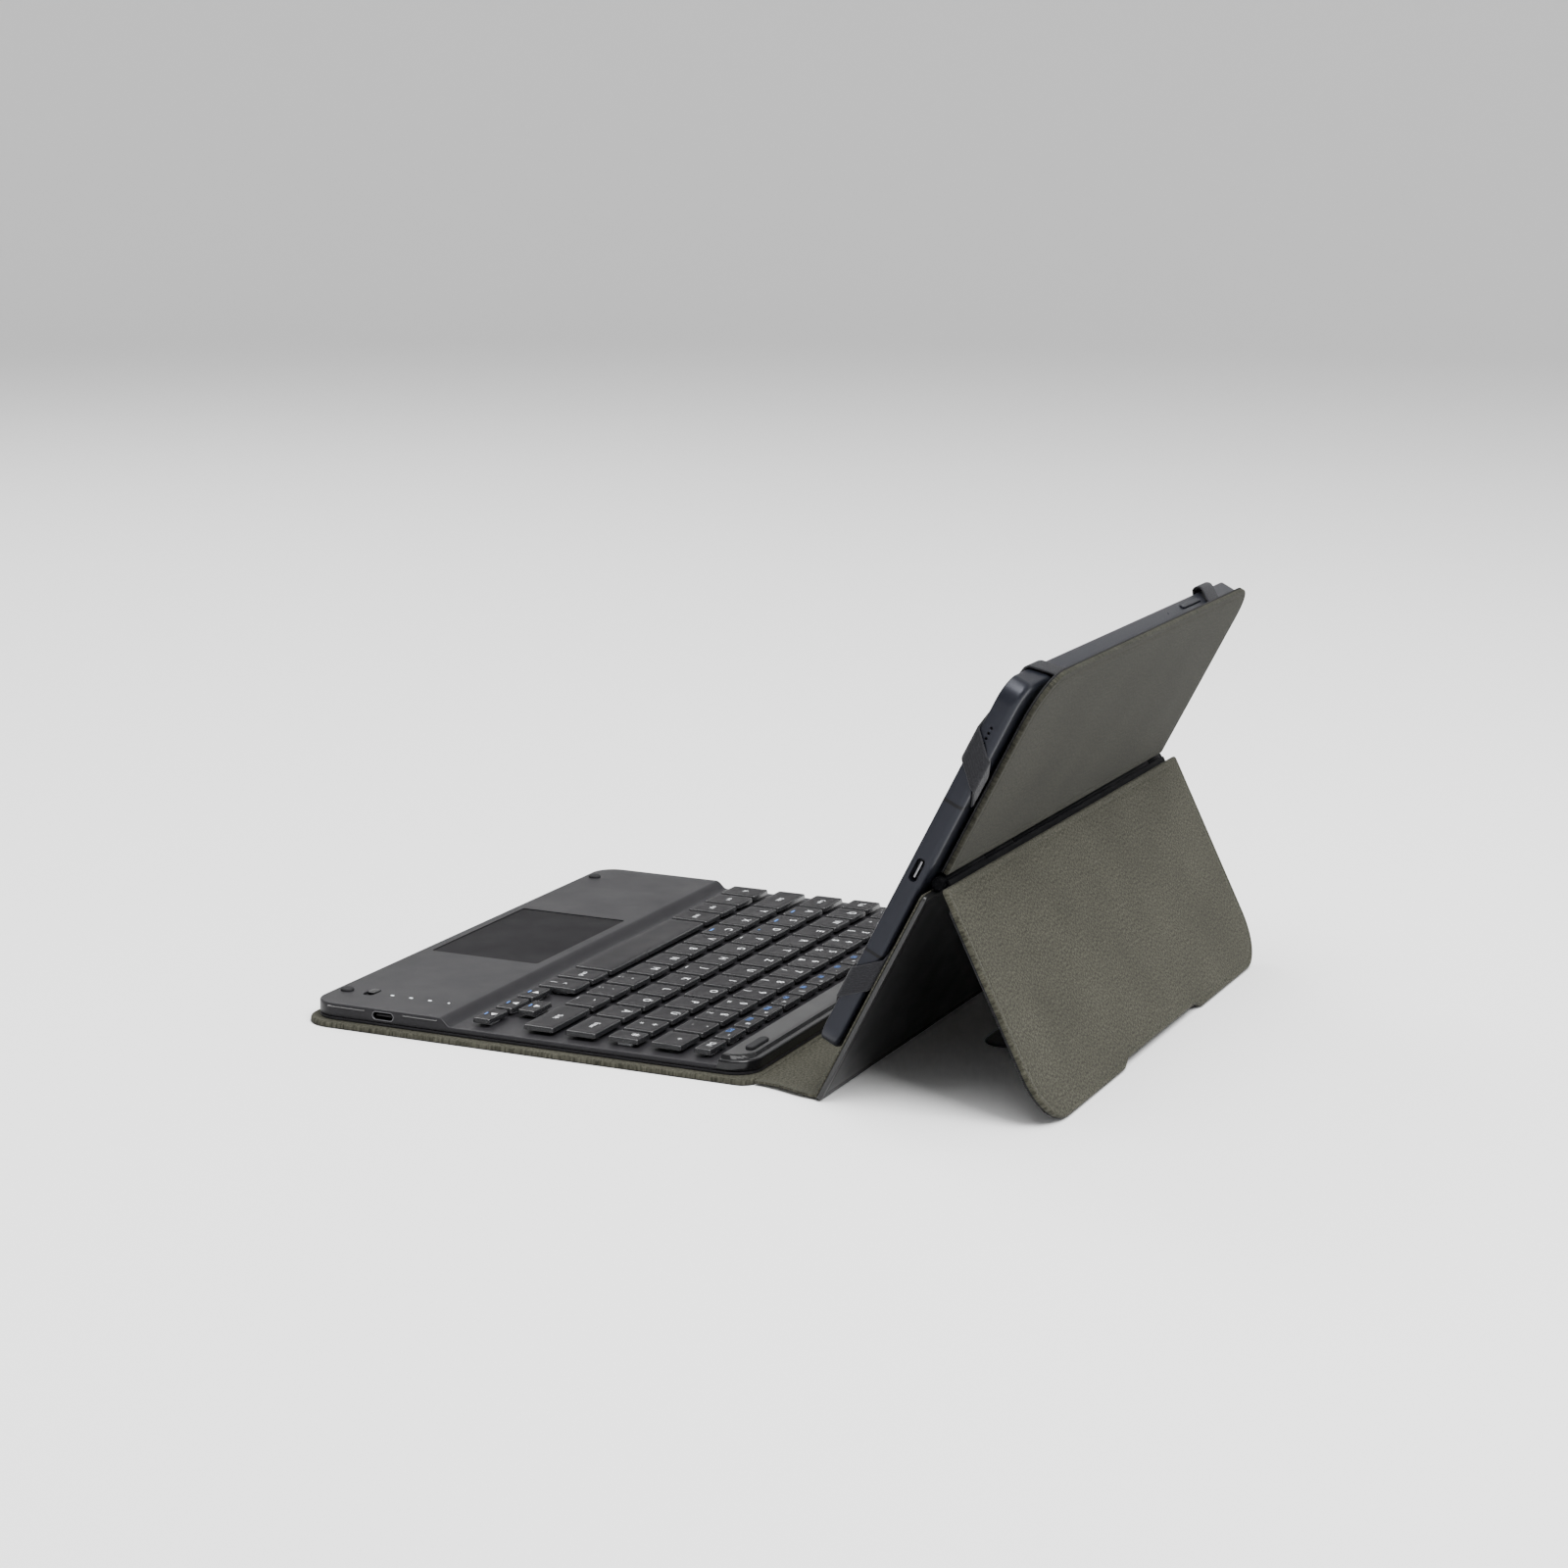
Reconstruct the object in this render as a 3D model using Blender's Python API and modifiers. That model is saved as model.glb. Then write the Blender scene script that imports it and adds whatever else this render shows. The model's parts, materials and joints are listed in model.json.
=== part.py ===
"""Tablet keyboard case, standing open with a tablet held in its corner elastics.

Axes: +X is the typist's right, +Y points away from the typist, +Z is up, all in metres.
The origin is on the table under the middle of the whole object.
"""

from math import asin, cos, pi, radians, sin

import bmesh
import bpy
from mathutils import Matrix, Vector

# Clearances
FIT = 0.0003
WALL = 0.0010

# Keyboard cover, the fabric-faced board under the keyboard
COVER_SIDE_EDGE = 0.0035
COVER_FRONT_EDGE = 0.0028
COVER_BACK_EDGE = 0.0017
COVER_T = 0.0022
COVER_R = 0.0120

# Keyboard body
DECK_R = 0.0100
BASE_T = 0.0008
KEY_FLOOR_Z = 0.0054
PALM_Z = 0.0085
LEDGE_Z = 0.0087
PALM_D = 0.0547
SLOPE_D = 0.0050
LEDGE_D = 0.0133
LEDGE_STEP = 0.0006
DECK_WALL = 0.0016

# Keys
KEY_SIDE_MARGIN = 0.0055
KEY_FRONT_MARGIN = 0.0056
KEY_BACK_MARGIN = 0.00462
KEY_GAP = 0.0017
KEY_PITCH = 0.01675
ROW_PITCH = 0.01707
KEY_D = 0.01266
FUNCTION_KEY_D = 0.0072
BOTTOM_KEY_D = 0.0163
ARROW_KEY_D = 0.0075
ARROW_KEY_W = 0.0150
ARROW_ROW_GAP = 0.0018
BOTTOM_ROW_GAP = 0.0045
KEY_TOP_Z = 0.0085
KEY_TAPER = 0.0004
KEY_TRAVEL = 0.0012
STEM_W = 0.0040
STEM_L = 0.0030
STEM_H = 0.0010
WEB_D = 0.0012
WEB_T = 0.0006
CARET_KEY_W = 0.0077
BACKSPACE_KEY_W = 0.0166
TAB_KEY_W = 0.01405
CAPS_KEY_W = 0.01925
SHIFT_KEY_W = 0.02765
LEFT_MODIFIER_W = 0.0141
RIGHT_MODIFIER_W = 0.0135
MEMBRANE_T = 0.0002

# Touchpad, switch, lights, pads and port on the keyboard
TOUCHPAD_W = 0.0752
TOUCHPAD_D = 0.0461
TOUCHPAD_T = 0.0006
TOUCHPAD_R = 0.0012
TOUCHPAD_SUNK = 0.0003
TOUCHPAD_X = -0.0013
TOUCHPAD_FROM_FRONT = 0.0046
BUMPER_R = 0.0026
BUMPER_H = 0.0014
BUMPER_FROM_SIDE = 0.0180
BUMPER_FROM_FRONT = 0.0053
BUMPER_SEAT = 0.0006
REAR_PAD_W = 0.0150
REAR_PAD_D = 0.0036
REAR_PAD_H = 0.0011
REAR_PAD_FROM_SIDE = 0.0200
REAR_PAD_SEAT = 0.0006
SWITCH_FROM_SIDE = 0.0194
SWITCH_FROM_FRONT = 0.0152
SWITCH_SLOT_W = 0.0092
SWITCH_SLOT_D = 0.0044
SWITCH_KNOB_W = 0.0052
SWITCH_TRAVEL = 0.0028
LIGHT_FROM_SIDE = 0.0187
LIGHT_FROM_FRONT = 0.0243
LIGHT_PITCH = 0.0080
LIGHT_COUNT = 4
LIGHT_R = 0.0009
LIGHT_OFF_BOARD = 0.00065
PORT_FROM_FRONT = 0.0311
PORT_W = 0.0092
PORT_H = 0.0034
PORT_L = 0.0070
PORT_WALL = 0.0004
TRIM_H = 0.0011
TRIM_DEPTH = 0.0008
TRIM_BELOW_TOP = 0.0006
FRONT_TRIM_START = 0.0074
FRONT_TRIM_L = 0.0165
REAR_TRIM_START = 0.0392
REAR_TRIM_L = 0.0150

# Works inside the keyboard body
BATTERY_W = 0.0820
BATTERY_D = 0.0400
BATTERY_FROM_SIDE = 0.0590
BOARD_W = 0.0760
BOARD_D = 0.0300
BOARD_T = 0.0008
BOARD_FROM_SIDE = 0.0490

# Spine, the soft strip between the keyboard cover and the back panel
SPINE_D = 0.0260
SPINE_T = 0.0012
SPINE_INSET = 0.0027
FOLD_Z = 0.0006

# Back panel: the lower and upper halves either side of the barrel hinge
PANEL_LEAN = radians(26.7)
LOWER_L = 0.0889
LOWER_SPARE_W = 0.0074
UPPER_SPARE_L = 0.0041
UPPER_SHORT_W = 0.0124
UPPER_R = 0.0180
PANEL_SHELL_T = 0.0015
LINING_T = 0.0006
PANEL_BACK_N = -0.0022
HINGE_SPARE = 0.0009
PANEL_START = 0.0006

# Barrel hinge
BARREL_R = 0.0024
PIN_R = 0.0012
BARREL_SPARE_L = 0.0002
NEAR_KNUCKLE_L = 0.0390
NEXT_KNUCKLE_L = 0.0280
FAR_KNUCKLE_L = 0.0150
LEAF_L = 0.0090
LEAF_T = 0.0005
KNUCKLE_WEB = 0.0020
CAP_L = 0.0016
BARREL_CLEAR = 0.0004

# Kickstand
KICK_LEAN = radians(26.5)
KICK_SPARE_W = 0.0046
KICK_SHELL_T = 0.0016
KICK_R = 0.0200
KICK_TOP = 0.0010
RECESS_W = 0.0890
RECESS_D = 0.0030
FLAP_W = 0.0780
FLAP_L = 0.0560
FLAP_T = 0.0007
FLAP_R = 0.0080

# Tablet and the elastics round its corners
TABLET_W = 0.2480
TABLET_H = 0.1482
TABLET_T = 0.0075
TABLET_R = 0.0085
TABLET_X = 0.0030
TABLET_FROM_FOLD = 0.0180
TABLET_BACK_N = 0.0017
GLASS_T = 0.0010
GLASS_RIM = 0.0012
GLASS_PROUD = 0.0001
ROCKER_L = 0.0215
ROCKER_D = 0.0022
ROCKER_H = 0.0016
ROCKER_PROUD = 0.0006
ROCKER_X = -0.0635
ROCKER_TRAVEL = 0.0003
TABLET_PORT_W = 0.0092
TABLET_PORT_H = 0.0034
TABLET_PORT_DEPTH = 0.0060
SPEAKER_HOLES = 4
SPEAKER_PITCH = 0.0020
SPEAKER_R = 0.0006
SPEAKER_FROM_TOP = 0.0175
STRAP_NEAR_CORNER = 0.0200
STRAP_W = 0.0090
STRAP_T = 0.0009
STRAP_TAIL = 0.0070
STRAP_CLEAR = 0.0004

# Sizes that follow
LETTER_COLUMNS = 12
LETTER_ROWS = 4
KEY_FIELD_W = CARET_KEY_W + KEY_GAP + LETTER_COLUMNS * KEY_PITCH + BACKSPACE_KEY_W
LEFT_BLOCK_W = 4 * (LEFT_MODIFIER_W + KEY_GAP)
RIGHT_BLOCK_W = 2 * (RIGHT_MODIFIER_W + KEY_GAP) + 3 * (ARROW_KEY_W + KEY_GAP)
SPACE_KEY_W = KEY_FIELD_W - LEFT_BLOCK_W - RIGHT_BLOCK_W
DECK_W = KEY_FIELD_W + 2 * KEY_SIDE_MARGIN
BOTTOM_ROW_FROM_FRONT = PALM_D + SLOPE_D + KEY_FRONT_MARGIN
LETTERS_D = BOTTOM_KEY_D + BOTTOM_ROW_GAP + LETTER_ROWS * ROW_PITCH
DECK_D = BOTTOM_ROW_FROM_FRONT + LETTERS_D + FUNCTION_KEY_D + KEY_BACK_MARGIN + LEDGE_D
COVER_W = DECK_W + 2 * COVER_SIDE_EDGE
COVER_D = DECK_D + COVER_FRONT_EDGE + COVER_BACK_EDGE
BUMPER_X = DECK_W / 2 - BUMPER_FROM_SIDE
REAR_PAD_X = DECK_W / 2 - REAR_PAD_FROM_SIDE
SWITCH_X = DECK_W / 2 - SWITCH_FROM_SIDE
LIGHT_X = DECK_W / 2 - LIGHT_FROM_SIDE
BATTERY_X = BATTERY_FROM_SIDE - DECK_W / 2
BOARD_X = DECK_W / 2 - BOARD_FROM_SIDE
LOWER_W = TABLET_W + LOWER_SPARE_W
UPPER_W = TABLET_W - UPPER_SHORT_W
HINGE_CLEAR = BARREL_R + HINGE_SPARE
HINGE_N = TABLET_BACK_N - BARREL_R - BARREL_CLEAR
KICK_IN = BARREL_R + FIT
UPPER_L = TABLET_FROM_FOLD + TABLET_H + UPPER_SPARE_L - LOWER_L
KICK_W = TABLET_W + KICK_SPARE_W
BARREL_HALF_L = UPPER_W / 2 + BARREL_SPARE_L
GAP_NEAR = BARREL_HALF_L - NEAR_KNUCKLE_L
GAP_NEXT = GAP_NEAR - NEXT_KNUCKLE_L
GAP_FAR = FAR_KNUCKLE_L - BARREL_HALF_L
KEY_H = KEY_TOP_Z - KEY_FLOOR_Z - KEY_TRAVEL - FIT
HINGE_Z = FOLD_Z + LOWER_L * cos(PANEL_LEAN) + HINGE_N * sin(PANEL_LEAN)
KICK_L = (HINGE_Z + KICK_IN * sin(KICK_LEAN)) / cos(KICK_LEAN)
KICK_OUT = KICK_IN + LINING_T + FIT + KICK_SHELL_T
FOLD_FROM_FRONT = COVER_D + SPINE_D
HINGE_FROM_FRONT = FOLD_FROM_FRONT + LOWER_L * sin(PANEL_LEAN) - HINGE_N * cos(PANEL_LEAN)
FOOT_FROM_FRONT = HINGE_FROM_FRONT + KICK_L * sin(KICK_LEAN) + KICK_OUT * cos(KICK_LEAN)
FRONT_Y = -FOOT_FROM_FRONT / 2

COVER_BACK_Y = FRONT_Y + COVER_D
DECK_FRONT_Y = FRONT_Y + COVER_FRONT_EDGE
DECK_BACK_Y = DECK_FRONT_Y + DECK_D
FOLD_Y = FRONT_Y + FOLD_FROM_FRONT
HINGE_Y = FRONT_Y + HINGE_FROM_FRONT
BASE_Z = COVER_T + FIT
DECK_Z = BASE_Z + BASE_T + FIT
BATTERY_T = PALM_Z - 2 * WALL - DECK_Z - FIT
LIGHT_FOOT_Z = DECK_Z + BOARD_T + LIGHT_R / 2 + LIGHT_OFF_BOARD
KEY_ZONE_Y = DECK_FRONT_Y + PALM_D + SLOPE_D
LEDGE_Y = DECK_BACK_Y - LEDGE_D
BOTTOM_ROW_Y = DECK_FRONT_Y + BOTTOM_ROW_FROM_FRONT
LETTER_ROW_Y = BOTTOM_ROW_Y + BOTTOM_KEY_D + BOTTOM_ROW_GAP
KEY_LEFT_X = -KEY_FIELD_W / 2
KEY_RIGHT_X = KEY_FIELD_W / 2
TABLET_TOP = TABLET_FROM_FOLD + TABLET_H
HINGE_T = LOWER_L

PARTS = "tablet_keyboard_case"
CUTTERS = "cutters"

# Colour, roughness and metallic value of each finish
OLIVE_FABRIC = ((0.130, 0.125, 0.095), 0.90, 0.0)
DARK_LINING = ((0.030, 0.030, 0.032), 0.85, 0.0)
BLACK_BOARD = ((0.012, 0.012, 0.013), 0.45, 0.0)
BLACK_PLASTIC = ((0.030, 0.029, 0.031), 0.55, 0.0)
KEY_PLASTIC = ((0.024, 0.023, 0.025), 0.50, 0.0)
GLOSS_BLACK = ((0.010, 0.010, 0.012), 0.15, 0.0)
RUBBER = ((0.015, 0.015, 0.016), 0.80, 0.0)
WHITE_LIGHT = ((0.800, 0.850, 0.900), 0.30, 0.0)
STEEL = ((0.550, 0.550, 0.560), 0.30, 1.0)
BARREL_BLACK = ((0.015, 0.015, 0.016), 0.30, 0.6)
TABLET_METAL = ((0.035, 0.040, 0.055), 0.40, 0.8)
GLASS = ((0.005, 0.005, 0.006), 0.05, 0.0)
ELASTIC = ((0.025, 0.025, 0.028), 0.85, 0.0)
GREEN_BOARD = ((0.020, 0.120, 0.050), 0.50, 0.0)
BATTERY_FOIL = ((0.250, 0.250, 0.260), 0.40, 0.6)
CLEAR_FILM = ((0.500, 0.520, 0.540), 0.30, 0.0)


# ---------------------------------------------------------------- helpers

def clear_scene():
    """Remove every object and make the two collections."""
    for thing in list(bpy.data.objects):
        bpy.data.objects.remove(thing)
    for name in (PARTS, CUTTERS):
        group = bpy.data.collections.new(name)
        bpy.context.scene.collection.children.link(group)


def place(name, mesh, group, parent=None):
    """Put a mesh in a collection, and under its parent frame when it has one."""
    thing = bpy.data.objects.new(name, mesh)
    bpy.data.collections[group].objects.link(thing)
    thing.parent = parent
    return thing


def part(name, mesh, finish, parent=None):
    """A sub-part with its own Principled material."""
    colour, roughness, metallic = finish
    material = bpy.data.materials.new(name)
    material.use_nodes = True
    shader = material.node_tree.nodes["Principled BSDF"]
    shader.inputs["Base Color"].default_value = (*colour, 1.0)
    shader.inputs["Roughness"].default_value = roughness
    shader.inputs["Metallic"].default_value = metallic
    mesh.materials.append(material)
    return place(name, mesh, PARTS, parent)


def cutter(name, mesh, parent=None):
    """A shape that only cuts: drawn as wire and never rendered."""
    thing = place(name, mesh, CUTTERS, parent)
    thing.hide_render = True
    thing.display_type = "WIRE"
    return thing


def combine(target, other, operation):
    """Add an exact Boolean of another object."""
    step = target.modifiers.new(other.name, "BOOLEAN")
    step.operation = operation
    step.solver = "EXACT"
    step.object = other


def frame(name, location, tilt, parent=None):
    """An empty on a joint's axis, turned by tilt about X, whose children use its axes."""
    empty = bpy.data.objects.new(name, None)
    bpy.data.collections[PARTS].objects.link(empty)
    empty.location = location
    empty.rotation_euler = (tilt, 0.0, 0.0)
    empty.parent = parent
    return empty


def boxes(corners):
    """A mesh of separate boxes, each from its lowest to its highest corner."""
    shape = bmesh.new()
    for low, high in corners:
        low = Vector(low)
        high = Vector(high)
        size = Matrix.Diagonal((*(high - low), 1.0))
        bmesh.ops.create_cube(shape, size=1.0, matrix=Matrix.Translation((low + high) / 2) @ size)
    return to_mesh(shape)


def cylinders(places, radius, low, high, axis="Z", segments=16):
    """A mesh of separate cylinders along X or Z, from low to high on that axis."""
    shape = bmesh.new()
    turn = Matrix.Rotation(pi / 2, 4, "Y") if axis == "X" else Matrix.Identity(4)
    for spot in places:
        middle = Vector(spot)
        middle["XYZ".index(axis)] = (low + high) / 2
        bmesh.ops.create_cone(
            shape,
            cap_ends=True,
            segments=segments,
            radius1=radius,
            radius2=radius,
            depth=high - low,
            matrix=Matrix.Translation(middle) @ turn,
        )
    return to_mesh(shape)


def to_mesh(shape):
    """Turn a bmesh into a mesh."""
    mesh = bpy.data.meshes.new("shape")
    shape.to_mesh(mesh)
    shape.free()
    return mesh


def rounded_outline(width, depth, radii, steps=5):
    """Corner points of a rectangle about the origin; radii start at -X -Y and go anticlockwise."""
    signs = ((-1, -1), (1, -1), (1, 1), (-1, 1))
    points = []
    for index, (sign_x, sign_y) in enumerate(signs):
        radius = radii[index]
        centre_x = sign_x * (width / 2 - radius)
        centre_y = sign_y * (depth / 2 - radius)
        start = pi + index * pi / 2
        if radius == 0.0:
            points.append((centre_x, centre_y))
            continue
        for step in range(steps + 1):
            angle = start + step * pi / 2 / steps
            points.append((centre_x + radius * cos(angle), centre_y + radius * sin(angle)))
    return points


def slab(points, low, high, turn=None):
    """A flat outline made solid between two heights, as a filled 2D curve turned to a mesh."""
    curve = bpy.data.curves.new("outline", "CURVE")
    curve.dimensions = "2D"
    curve.fill_mode = "BOTH"
    curve.extrude = (high - low) / 2
    spline = curve.splines.new("POLY")
    spline.points.add(len(points) - 1)
    for index, (x, y) in enumerate(points):
        spline.points[index].co = (x, y, 0.0, 1.0)
    spline.use_cyclic_u = True
    helper = bpy.data.objects.new("outline", curve)
    bpy.context.scene.collection.objects.link(helper)
    graph = bpy.context.evaluated_depsgraph_get()
    mesh = bpy.data.meshes.new_from_object(helper.evaluated_get(graph))
    bpy.data.objects.remove(helper)
    shape = bmesh.new()
    shape.from_mesh(mesh)
    bmesh.ops.remove_doubles(shape, verts=shape.verts, dist=0.000001)
    bmesh.ops.translate(shape, verts=shape.verts, vec=(0.0, 0.0, (low + high) / 2))
    if turn is not None:
        bmesh.ops.transform(shape, matrix=turn, verts=shape.verts)
    bmesh.ops.recalc_face_normals(shape, faces=shape.faces)
    return to_mesh(shape)


def moved(points, x, y):
    """Shift an outline."""
    return [(point_x + x, point_y + y) for point_x, point_y in points]


def prism_along_x(outline, half_width):
    """A side outline of (y, z) points made solid across X."""
    turn = Matrix(((0, 0, 1, 0), (1, 0, 0, 0), (0, 1, 0, 0), (0, 0, 0, 1)))
    return slab(outline, -half_width, half_width, turn)


# ---------------------------------------------------------------- keyboard body

def make_cover():
    """The fabric-faced board that the keyboard is glued to."""
    outline = rounded_outline(COVER_W, COVER_D, (COVER_R, COVER_R, COVER_R / 2, COVER_R / 2))
    outline = moved(outline, 0.0, FRONT_Y + COVER_D / 2)
    part("keyboard_cover", slab(outline, 0.0, COVER_T), OLIVE_FABRIC)


def make_base():
    """The thin tray that closes the keyboard body from below."""
    outline = rounded_outline(DECK_W, DECK_D, (DECK_R,) * 4)
    outline = moved(outline, 0.0, DECK_FRONT_Y + DECK_D / 2)
    part("keyboard_base", slab(outline, BASE_Z, BASE_Z + BASE_T), BLACK_PLASTIC)


def deck_side():
    """Side outline of the top case: palm rest, soft slope, key floor, step and rear ledge."""
    crest_y = DECK_FRONT_Y + PALM_D
    drop = PALM_Z - KEY_FLOOR_Z
    slope = []
    for step in range(7):
        share = step / 6
        slope.append((crest_y + share * SLOPE_D, PALM_Z - drop * (1 - cos(pi * share)) / 2))
    soft = 0.0007
    outline = [(DECK_FRONT_Y, DECK_Z), (DECK_FRONT_Y, PALM_Z - soft), (DECK_FRONT_Y + soft, PALM_Z)]
    outline += slope
    outline += [(LEDGE_Y, KEY_FLOOR_Z), (LEDGE_Y + LEDGE_STEP, LEDGE_Z)]
    outline += [(DECK_BACK_Y - soft, LEDGE_Z), (DECK_BACK_Y, LEDGE_Z - soft), (DECK_BACK_Y, DECK_Z)]
    return outline[::-1]


def make_deck(holes):
    """The top case: its side outline cut to the rounded plan, hollow below, with all its openings."""
    deck = part("keyboard_deck", prism_along_x(deck_side(), DECK_W / 2 + WALL), BLACK_PLASTIC)
    plan = rounded_outline(DECK_W, DECK_D + 2 * FIT, (DECK_R,) * 4)
    plan = moved(plan, 0.0, DECK_FRONT_Y + DECK_D / 2)
    combine(deck, cutter("deck_plan", slab(plan, 0.0, 2 * PALM_Z)), "INTERSECT")
    inner_x = DECK_W / 2 - DECK_WALL
    below = DECK_Z - WALL
    palm_front = DECK_FRONT_Y + DECK_WALL
    palm_back = DECK_FRONT_Y + PALM_D - DECK_WALL
    rooms = [
        ((-inner_x, palm_front, below), (inner_x, palm_back, PALM_Z - 2 * WALL)),
        ((-inner_x, palm_back - WALL, below), (inner_x, LEDGE_Y - FIT, KEY_FLOOR_Z - WALL)),
    ]
    for index, room in enumerate(rooms):
        combine(deck, cutter(f"deck_room_{index}", boxes([room])), "DIFFERENCE")
    combine(deck, cutter("stem_holes", boxes(holes)), "DIFFERENCE")
    combine(deck, cutter("deck_seats", boxes(seat_boxes())), "DIFFERENCE")
    combine(deck, cutter("bumper_seats", round_seats()), "DIFFERENCE")
    light_holes = light_shapes(LIGHT_R + FIT, PALM_Z - 3 * WALL, PALM_Z + WALL)
    combine(deck, cutter("light_holes", light_holes), "DIFFERENCE")
    combine(deck, cutter("switch_slot", switch_slot()), "DIFFERENCE")
    for side, name in ((-1, "left"), (1, "right")):
        seat = pad_shape(side, FIT, LEDGE_Z - REAR_PAD_SEAT, LEDGE_Z + WALL)
        combine(deck, cutter(f"pad_seat_{name}", seat), "DIFFERENCE")


def touchpad_outline(grow):
    """Plan of the touchpad, or of its seat when grown."""
    outline = rounded_outline(TOUCHPAD_W + 2 * grow, TOUCHPAD_D + 2 * grow, (TOUCHPAD_R,) * 4, 2)
    return moved(outline, TOUCHPAD_X, DECK_FRONT_Y + TOUCHPAD_FROM_FRONT + TOUCHPAD_D / 2)


def port_middle():
    """Middle of the charging port on the right side of the palm rest."""
    return DECK_FRONT_Y + PORT_FROM_FRONT, (DECK_Z + PALM_Z) / 2


def trim_spans():
    """Front-to-back spans of the two glossy side trims, either side of the port."""
    starts = ((FRONT_TRIM_START, FRONT_TRIM_L), (REAR_TRIM_START, REAR_TRIM_L))
    return [(DECK_FRONT_Y + start, DECK_FRONT_Y + start + length) for start, length in starts]


def seat_boxes():
    """Box-shaped cuts in the deck: the touchpad's seat, the port and the trim grooves."""
    seat_low = PALM_Z - TOUCHPAD_SUNK - TOUCHPAD_T - FIT
    xs = [x for x, _ in touchpad_outline(FIT)]
    ys = [y for _, y in touchpad_outline(FIT)]
    cuts = [((min(xs), min(ys), seat_low), (max(xs), max(ys), PALM_Z + WALL))]
    side = DECK_W / 2
    port_y, port_z = port_middle()
    half_w = PORT_W / 2 + FIT
    half_h = PORT_H / 2 + FIT
    cuts.append(((side - PORT_L - FIT, port_y - half_w, port_z - half_h),
                 (side + WALL, port_y + half_w, port_z + half_h)))
    top = PALM_Z - TRIM_BELOW_TOP
    for start, end in trim_spans():
        cuts.append(((side - TRIM_DEPTH, start, top - TRIM_H), (side + WALL, end, top)))
    return cuts


def round_seats():
    """Seats of the two round bumpers at the front corners."""
    y = DECK_FRONT_Y + BUMPER_FROM_FRONT
    places = [(-BUMPER_X, y, 0.0), (BUMPER_X, y, 0.0)]
    return cylinders(places, BUMPER_R + FIT, PALM_Z - BUMPER_SEAT, PALM_Z + WALL, segments=20)


def light_shapes(radius, low, top):
    """The row of round status lights, or their holes."""
    y = DECK_FRONT_Y + LIGHT_FROM_FRONT
    places = [(LIGHT_X, y + index * LIGHT_PITCH, 0.0) for index in range(LIGHT_COUNT)]
    return cylinders(places, radius, low, top, segments=12)


def switch_middle():
    """Middle of the power switch's slot."""
    return SWITCH_X, DECK_FRONT_Y + SWITCH_FROM_FRONT


def switch_slot():
    """The oval slot that the power switch slides in."""
    outline = rounded_outline(SWITCH_SLOT_W, SWITCH_SLOT_D, (SWITCH_SLOT_D / 2 - FIT / 10,) * 4, 4)
    x, y = switch_middle()
    return slab(moved(outline, x, y), PALM_Z - 3 * WALL, PALM_Z + WALL)


def pad_shape(side, grow, low, high):
    """One elongated rear pad, or its seat when grown."""
    depth = REAR_PAD_D + 2 * grow
    outline = rounded_outline(REAR_PAD_W + 2 * grow, depth, (depth / 2 - FIT / 10,) * 4, 4)
    return slab(moved(outline, side * REAR_PAD_X, DECK_BACK_Y - LEDGE_D / 2), low, high)


def make_deck_fittings():
    """Touchpad, bumpers, pads, lights, switch, port and trims."""
    touchpad_top = PALM_Z - TOUCHPAD_SUNK
    part("touchpad", slab(touchpad_outline(0.0), touchpad_top - TOUCHPAD_T, touchpad_top), BLACK_PLASTIC)
    y = DECK_FRONT_Y + BUMPER_FROM_FRONT
    low = PALM_Z - BUMPER_SEAT + FIT
    pad_low = LEDGE_Z - REAR_PAD_SEAT + FIT
    for side, name in ((-1, "left"), (1, "right")):
        bumper = cylinders([(side * BUMPER_X, y, 0.0)], BUMPER_R, low, low + BUMPER_H, segments=20)
        part(f"front_bumper_{name}", bumper, RUBBER)
        part(f"rear_pad_{name}", pad_shape(side, 0.0, pad_low, pad_low + REAR_PAD_H), RUBBER)
    foot = LIGHT_FOOT_Z
    guide = part("status_light_guide", light_shapes(LIGHT_R, foot, PALM_Z), WHITE_LIGHT)
    first = DECK_FRONT_Y + LIGHT_FROM_FRONT
    bar = ((LIGHT_X - LIGHT_R / 2, first, foot - LIGHT_R / 2),
           (LIGHT_X + LIGHT_R / 2, first + (LIGHT_COUNT - 1) * LIGHT_PITCH, foot + LIGHT_R / 2))
    combine(guide, cutter("light_bar", boxes([bar])), "UNION")
    make_switch()
    make_port()
    side = DECK_W / 2
    top = PALM_Z - TRIM_BELOW_TOP - FIT
    low_x = side - TRIM_DEPTH + FIT
    for name, (start, end) in zip(("front", "rear"), trim_spans()):
        trim = ((low_x, start + FIT, top - TRIM_H + 2 * FIT), (side, end - FIT, top))
        part(f"side_trim_{name}", boxes([trim]), GLOSS_BLACK)


def make_switch():
    """The sliding power switch, at the left end of its slot."""
    x, y = switch_middle()
    start_x = x - SWITCH_TRAVEL / 2
    half = SWITCH_SLOT_D / 2 - FIT
    axis = frame("power_switch_axis", (start_x, y, PALM_Z), 0.0)
    outline = rounded_outline(SWITCH_KNOB_W, 2 * half, (half - FIT / 10,) * 4, 4)
    part("power_switch", slab(outline, -2.2 * WALL, FIT), BLACK_PLASTIC, axis)


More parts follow.
